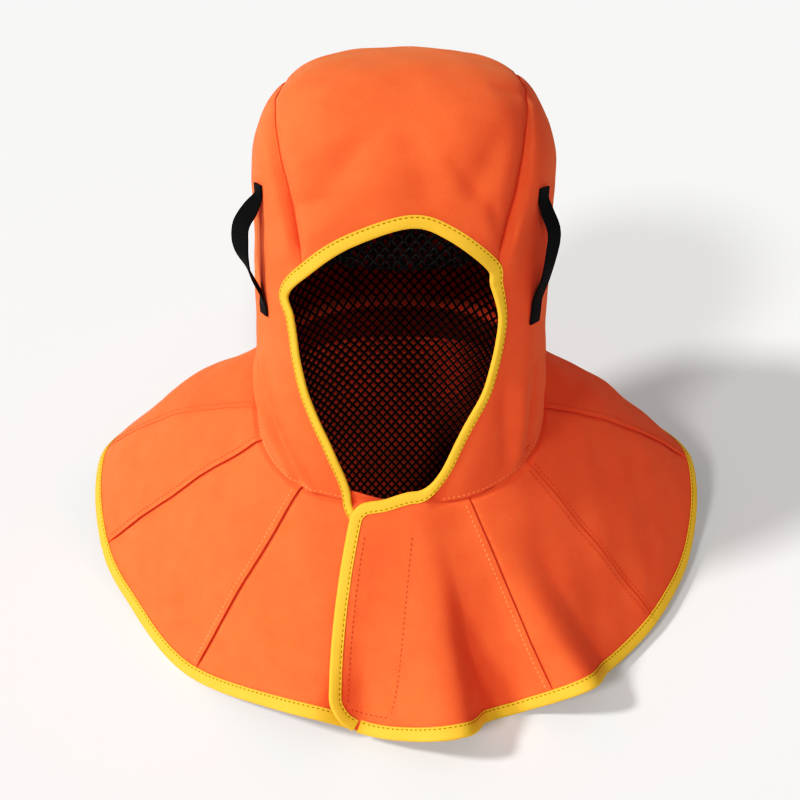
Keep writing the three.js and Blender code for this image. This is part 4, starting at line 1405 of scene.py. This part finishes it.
class HOOD_OT_cape_gores(HoodOperator, bpy.types.Operator):
    """Sews the gores of the cape and its overlapping front"""

    bl_idname = "hood.cape_gores"
    bl_label = "Cape gores"

    def execute(self, context):
        inside_neck = np.linspace(-1, 0, LAP_POINTS)[:-1]
        at_neck = np.linspace(0, NECK_ROWS, NECK_POINTS)[:-1]
        below = between_ends((NECK_ROWS, 1), cloth_shares(GORE_MESH))
        down = np.concatenate((inside_neck, at_neck, below))[:, None]
        row = np.maximum(down, 0)
        for node, gore in GORES.items():
            ends = [self.edge(seam, side, row) for seam, side in zip(gore, (1, -1))]
            angle = between_ends(ends, cloth_shares(GORE_DEGREE_MESH * (gore[1] - gore[0])))
            inside = np.where(np.abs(angle) < FACING_WITHIN, 1 - step_between(angle, *FACING), 1)
            lap = np.maximum(-down, 0) * NECK_LAP * inside
            self.sew_gore(node, cape_surface, angle, row, gore, lap)
        row = np.unique(np.concatenate([np.linspace(*rows) for rows in FLAP_ROWS]))[:, None]
        share = np.linspace(0, 1, FLAP_COLUMNS)
        plain = plain_flap_edge(row)
        angle = between_ends((plain, self.edge(FRONT_RIGHT_TO, -1, row)), share)
        angle = angle + (flap_edge(row) - plain) * (1 - share) ** 3
        self.sew_gore("cape_front_right", flap_surface, angle, raised(angle, row), (None, FRONT_RIGHT_TO), 0)
        return {"FINISHED"}

    @staticmethod
    def edge(angle, side, row):
        """The angle of a gore's edge at a seam, run on under its neighbour where that lies on top."""
        for seam in rows_of(CAPE_SEAMS):
            if seam["angle"] == angle and side * seam["top"] < 0:
                return angle - side * SEAM_LAP / cape_degree(angle, row)
        return angle + 0 * row

    @staticmethod
    def sew_gore(node, surface, angle, row, gore, lap):
        """A gore of the cape. Where it laps the head, it lies inside the head's wall up to a level."""
        angle, row = both(angle, row)
        angle, lap = both(angle, lap)
        inside = head_normal(angle, lap)
        lapped = (lap > 0)[..., None]
        outer = np.where(lapped, head_point(angle, lap) - inside * NECK_TUCK, surface(angle, row, gore))
        normal = np.where(lapped, inside, cape_normal(angle, row))
        sew_cloth(node, outer, normal, CLOTH)


class HOOD_OT_bindings(HoodOperator, bpy.types.Operator):
    """Folds the yellow binding over the face opening, the flap and the hem, and stitches it"""

    bl_idname = "hood.bindings"
    bl_label = "Bindings"

    def execute(self, context):
        tape = finish("yellow_binding")
        face = evened(face_frames(), *FACE_TAPE)
        hem = evened(hem_frames(), *HEM_TAPE)
        piece = swept("face_and_flap_binding", face, TAPE_SECTION, tape)
        fitted(piece, "yellow_binding", "face_binding", "flap_binding")
        piece = swept("hem_binding_tape", hem, TAPE_SECTION, tape, lowest=-STAND[2])
        fitted(piece, "yellow_binding", "hem_binding")
        runs = []
        for point, normal, inwards, share in (face, hem):
            line = point + inwards * TAPE_STITCH["over"] * share + normal * TAPE_STITCH["out"]
            runs.append((line, normal))
        sew_stitches("binding_stitches", runs, "yellow_thread", "yellow_binding")
        return {"FINISHED"}


class HOOD_OT_seam_stitches(HoodOperator, bpy.types.Operator):
    """Runs the topstitching along the cape's seams, the neck seam and the front overlap"""

    bl_idname = "hood.seam_stitches"
    bl_label = "Seam stitches"

    def execute(self, context):
        orange, pale = [], []
        row = np.linspace(*SEAM_ROWS)
        for seam in rows_of(CAPE_SEAMS):
            angle = seam["angle"]
            beside = seam["top"] * BESIDE_SEAM / cape_degree(angle, row)
            if abs(angle) < 180:
                line = self.on_cape(angle + beside, row, cape_surface)
                (pale if angle in PALE_SEAMS else orange).append(line)
            if angle == TWICE_SEWN:
                orange.append(self.on_cape(angle - beside, row, cape_surface))
        down = np.linspace(*FRONT_STITCH["rows"])
        per_degree = cape_degree(flap_edge(down), down)
        near = flap_edge(down) + FRONT_STITCH["beside"] / per_degree
        far = near + (FRONT_STITCH["width"] + FRONT_STITCH["widens"] * down) / per_degree
        bottom = np.linspace(near[-1], far[-1], FRONT_STITCH["bottom_points"])
        for angle, rows in ((near, down), (far, down), (bottom, down[-1])):
            orange.append(self.on_cape(angle, rows, flap_surface))
        for ends in NECK_STITCH["turns"]:
            turn, level = both(np.linspace(*ends), NECK_STITCH["level"])
            normal = head_normal(turn, level)
            pale.append((head_surface(turn, level) + normal * THREAD_ABOVE, normal))
        sew_stitches("seam_stitches", orange, "orange_thread", "orange_cotton")
        sew_stitches("pale_stitches", pale, "pale_thread", "orange_cotton")
        return {"FINISHED"}

    @staticmethod
    def on_cape(angle, row, surface):
        angle, row = both(angle, row)
        normal = cape_normal(angle, row)
        return surface(angle, row) + normal * THREAD_ABOVE, normal


class HOOD_OT_closure_tape(HoodOperator, bpy.types.Operator):
    """Lays the fastening tape between the two fronts"""

    bl_idname = "hood.closure_tape"
    bl_label = "Closure tape"

    def execute(self, context):
        row = np.linspace(*CLOSURE["rows"])[:, None]
        ends = [between_ends(pair, row) for pair in zip(CLOSURE["neck"], CLOSURE["hem"])]
        angle, row = both(between_ends(ends, np.linspace(0, 1, CLOSURE["columns"])), row)
        normal = cape_normal(angle, row)
        outer = cape_surface(angle, row) + normal * (CLOSURE["off"] + CLOSURE["wall"])
        sew_cloth("closure_tape", outer, normal, CLOSURE["wall"])
        return {"FINISHED"}


class HOOD_OT_linings(HoodOperator, bpy.types.Operator):
    """Knots the net lining and hangs the cloth behind it"""

    bl_idname = "hood.linings"
    bl_label = "Linings"

    def execute(self, context):
        self.knot_net(context.scene.hood_sizes)
        turn = np.linspace(*NECK_LINING["turns"])
        turn, row = both(turn, np.linspace(*NECK_LINING["rows"])[:, None])
        normal = bag_normal(turn, row)
        outer = bag_point(turn, row) + normal * (NECK_LINING["off"] + NECK_LINING["wall"])
        outer = outer + normal * ripple(outer * NECK_LINING["crumple"])[..., None]
        sew_cloth("neck_lining", outer, normal, NECK_LINING["wall"])
        return {"FINISHED"}

    @staticmethod
    def knot_net(sizes):
        cell = sizes.net_cell / MM
        strands = zip(net_strands(cell), brow_net_strands(cell))
        start, end, normal = (np.concatenate(pair) for pair in strands)
        way = unit(end - start)
        side = unit(np.cross(normal, way)) * sizes.strand_width / MM / 2
        up = unit(np.cross(way, side)) * sizes.strand_wall / MM / 2
        ends = (start - way * STRAND_LAP, end + way * STRAND_LAP)
        corners = (side + up, side - up, -side - up, -side + up)
        points = np.stack([middle + corner for middle in ends for corner in corners], axis=1)
        box = np.array(((0, 1, 5, 4), (1, 2, 6, 5), (2, 3, 7, 6), (3, 0, 4, 7), (3, 2, 1, 0), (4, 5, 6, 7)))
        faces = repeated(box, *points.shape[:2])
        piece = new_piece("net_lining_strands", points, faces, finish("black_net"), smooth_angle=100)
        fitted(piece, "black_net", "net_lining")


class HOOD_OT_webbing_loops(HoodOperator, bpy.types.Operator):
    """Sews the two webbing loops to the sides of the head"""

    bl_idname = "hood.webbing_loops"
    bl_label = "Webbing loops"

    def execute(self, context):
        for node, loop in LOOPS.items():
            piece = swept(node + "_webbing", self.frames(loop), self.section(), finish("black_webbing"))
            fitted(piece, "black_webbing", node)
        return {"FINISHED"}

    @staticmethod
    def section():
        """The webbing's section, with rounded edges and a face that is a little crowned. It closes at the
        edge of its lower right corner."""
        half = WEBBING_WIDTH / 2
        low = WEBBING_OFF
        high = low + WEBBING_WALL
        right = (
            (half - WEBBING_ROUND, low),
            (half, low + WEBBING_ROUND),
            (half, high - WEBBING_ROUND),
            (half - WEBBING_ROUND, high),
            (half * 0.5, high + WEBBING_CROWN),
        )
        left = [(-across, out) for across, out in reversed(right)]
        return np.roll(np.array((*right, *left)), -1, axis=0)

    @staticmethod
    def frames(loop):
        stop = np.linspace(0, LOOP_WAY["stop"][-1], LOOP_POINTS)
        level = smooth(LOOP_WAY, "stop", "level", stop)
        off = np.maximum(smooth(LOOP_WAY, "stop", "off", stop), 0) * loop["slack"]
        turn, level = both(loop["turn"], level)
        point = head_surface(turn, level) + head_normal(turn, level) * off[:, None]
        point, stop = respaced([point, stop[:, None]], 1.0)
        tangent = unit(np.gradient(point, axis=0))
        inwards = unit(np.cross(head_normal(loop["turn"], LOOP_MIDDLE)[None], tangent))
        normal = unit(np.cross(tangent, inwards))
        twist = 0
        for key, (comes, goes) in LOOP_TWIST.items():
            turned = step_between(stop, *comes) * (1 - step_between(stop, *goes))
            twist = twist + np.radians(loop[key]) * turned
        across = inwards * np.cos(twist) + normal * np.sin(twist)
        return point, unit(np.cross(tangent, across)), across, np.ones((len(point), 1))


class HOOD_OT_stage(HoodOperator, bpy.types.Operator):
    """Sets the floor, the lights and the camera"""

    bl_idname = "hood.stage"
    bl_label = "Stage"

    def execute(self, context):
        self.lay_floor(context)
        self.set_lights(context.scene)
        self.set_camera(context.scene)
        return {"FINISHED"}

    @staticmethod
    def lay_floor(context):
        bpy.ops.object.select_all(action="DESELECT")
        bpy.ops.mesh.primitive_plane_add(size=FLOOR_SIZE, location=(0, 0, -FLOOR_BELOW))
        floor = context.active_object
        floor.name = "floor"
        colour = opaque(context.scene.hood_colours.floor)
        shading = {"Base Color": colour, "Roughness": 0.75, "Specular IOR Level": 0.2}
        floor.data.materials.append(new_material("Pale floor", shading)[0])

    @staticmethod
    def set_lights(scene):
        world = bpy.data.worlds.new("Studio")
        world.use_nodes = True
        sky = {"Color": (1, 1, 1, 1), "Strength": scene.hood_stage.sky_strength}
        fill_inputs(world.node_tree, world.node_tree.nodes["Background"], sky)
        scene.world = world
        for row in rows_of(SUNS):
            sun = bpy.data.lights.new("sun", "SUN")
            sun.energy = row["strength"]
            sun.angle = math.radians(row["width"])
            lamp = bpy.data.objects.new("sun", sun)
            lamp.rotation_euler = (math.radians(90 - row["height"]), 0, math.radians(row["round"]))
            scene.collection.objects.link(lamp)

    @staticmethod
    def set_camera(scene):
        stage = scene.hood_stage
        camera = bpy.data.cameras.new("camera")
        camera.lens = stage.lens
        camera.sensor_width = SENSOR_WIDTH
        eye = bpy.data.objects.new("camera", camera)
        back = stage.camera_distance * math.cos(stage.camera_height)
        up = stage.camera_distance * math.sin(stage.camera_height) + stage.view_height
        x, y, z = STAND * MM
        eye.location = (x, y - back, z + up)
        eye.rotation_euler = (math.pi / 2 - stage.camera_height, 0, 0)
        scene.collection.objects.link(eye)
        scene.camera = eye
        view = scene.view_settings
        view.view_transform = "Standard"
        view.use_curve_mapping = True
        for row in rows_of(TONE):
            view.curve_mapping.curves[3].points.new(row["light"], row["shown"])
        view.curve_mapping.update()


OPERATORS = (
    HOOD_OT_head_panels,
    HOOD_OT_cape_gores,
    HOOD_OT_bindings,
    HOOD_OT_seam_stitches,
    HOOD_OT_closure_tape,
    HOOD_OT_linings,
    HOOD_OT_webbing_loops,
    HOOD_OT_stage,
)


class HOOD_PT_parts(bpy.types.Panel):
    bl_label = "Welding hood"
    bl_idname = "HOOD_PT_parts"
    bl_space_type = "VIEW_3D"
    bl_region_type = "UI"
    bl_category = "Hood"

    def draw(self, context):
        for operator in OPERATORS:
            self.layout.operator(operator.bl_idname)


SETTINGS = {"hood_colours": HoodColours, "hood_sizes": HoodSizes, "hood_stage": HoodStage}


def register():
    for cls in (*SETTINGS.values(), *OPERATORS, HOOD_PT_parts):
        bpy.utils.register_class(cls)
    for name, group in SETTINGS.items():
        setattr(bpy.types.Scene, name, bpy.props.PointerProperty(type=group))


def unregister():
    for name in SETTINGS:
        delattr(bpy.types.Scene, name)
    for cls in (HOOD_PT_parts, *reversed(OPERATORS), *reversed(tuple(SETTINGS.values()))):
        bpy.utils.unregister_class(cls)


def main():
    register()
    for operator in OPERATORS:
        family, name = operator.bl_idname.split(".")
        getattr(getattr(bpy.ops, family), name)()


if __name__ == "__main__":
    main()
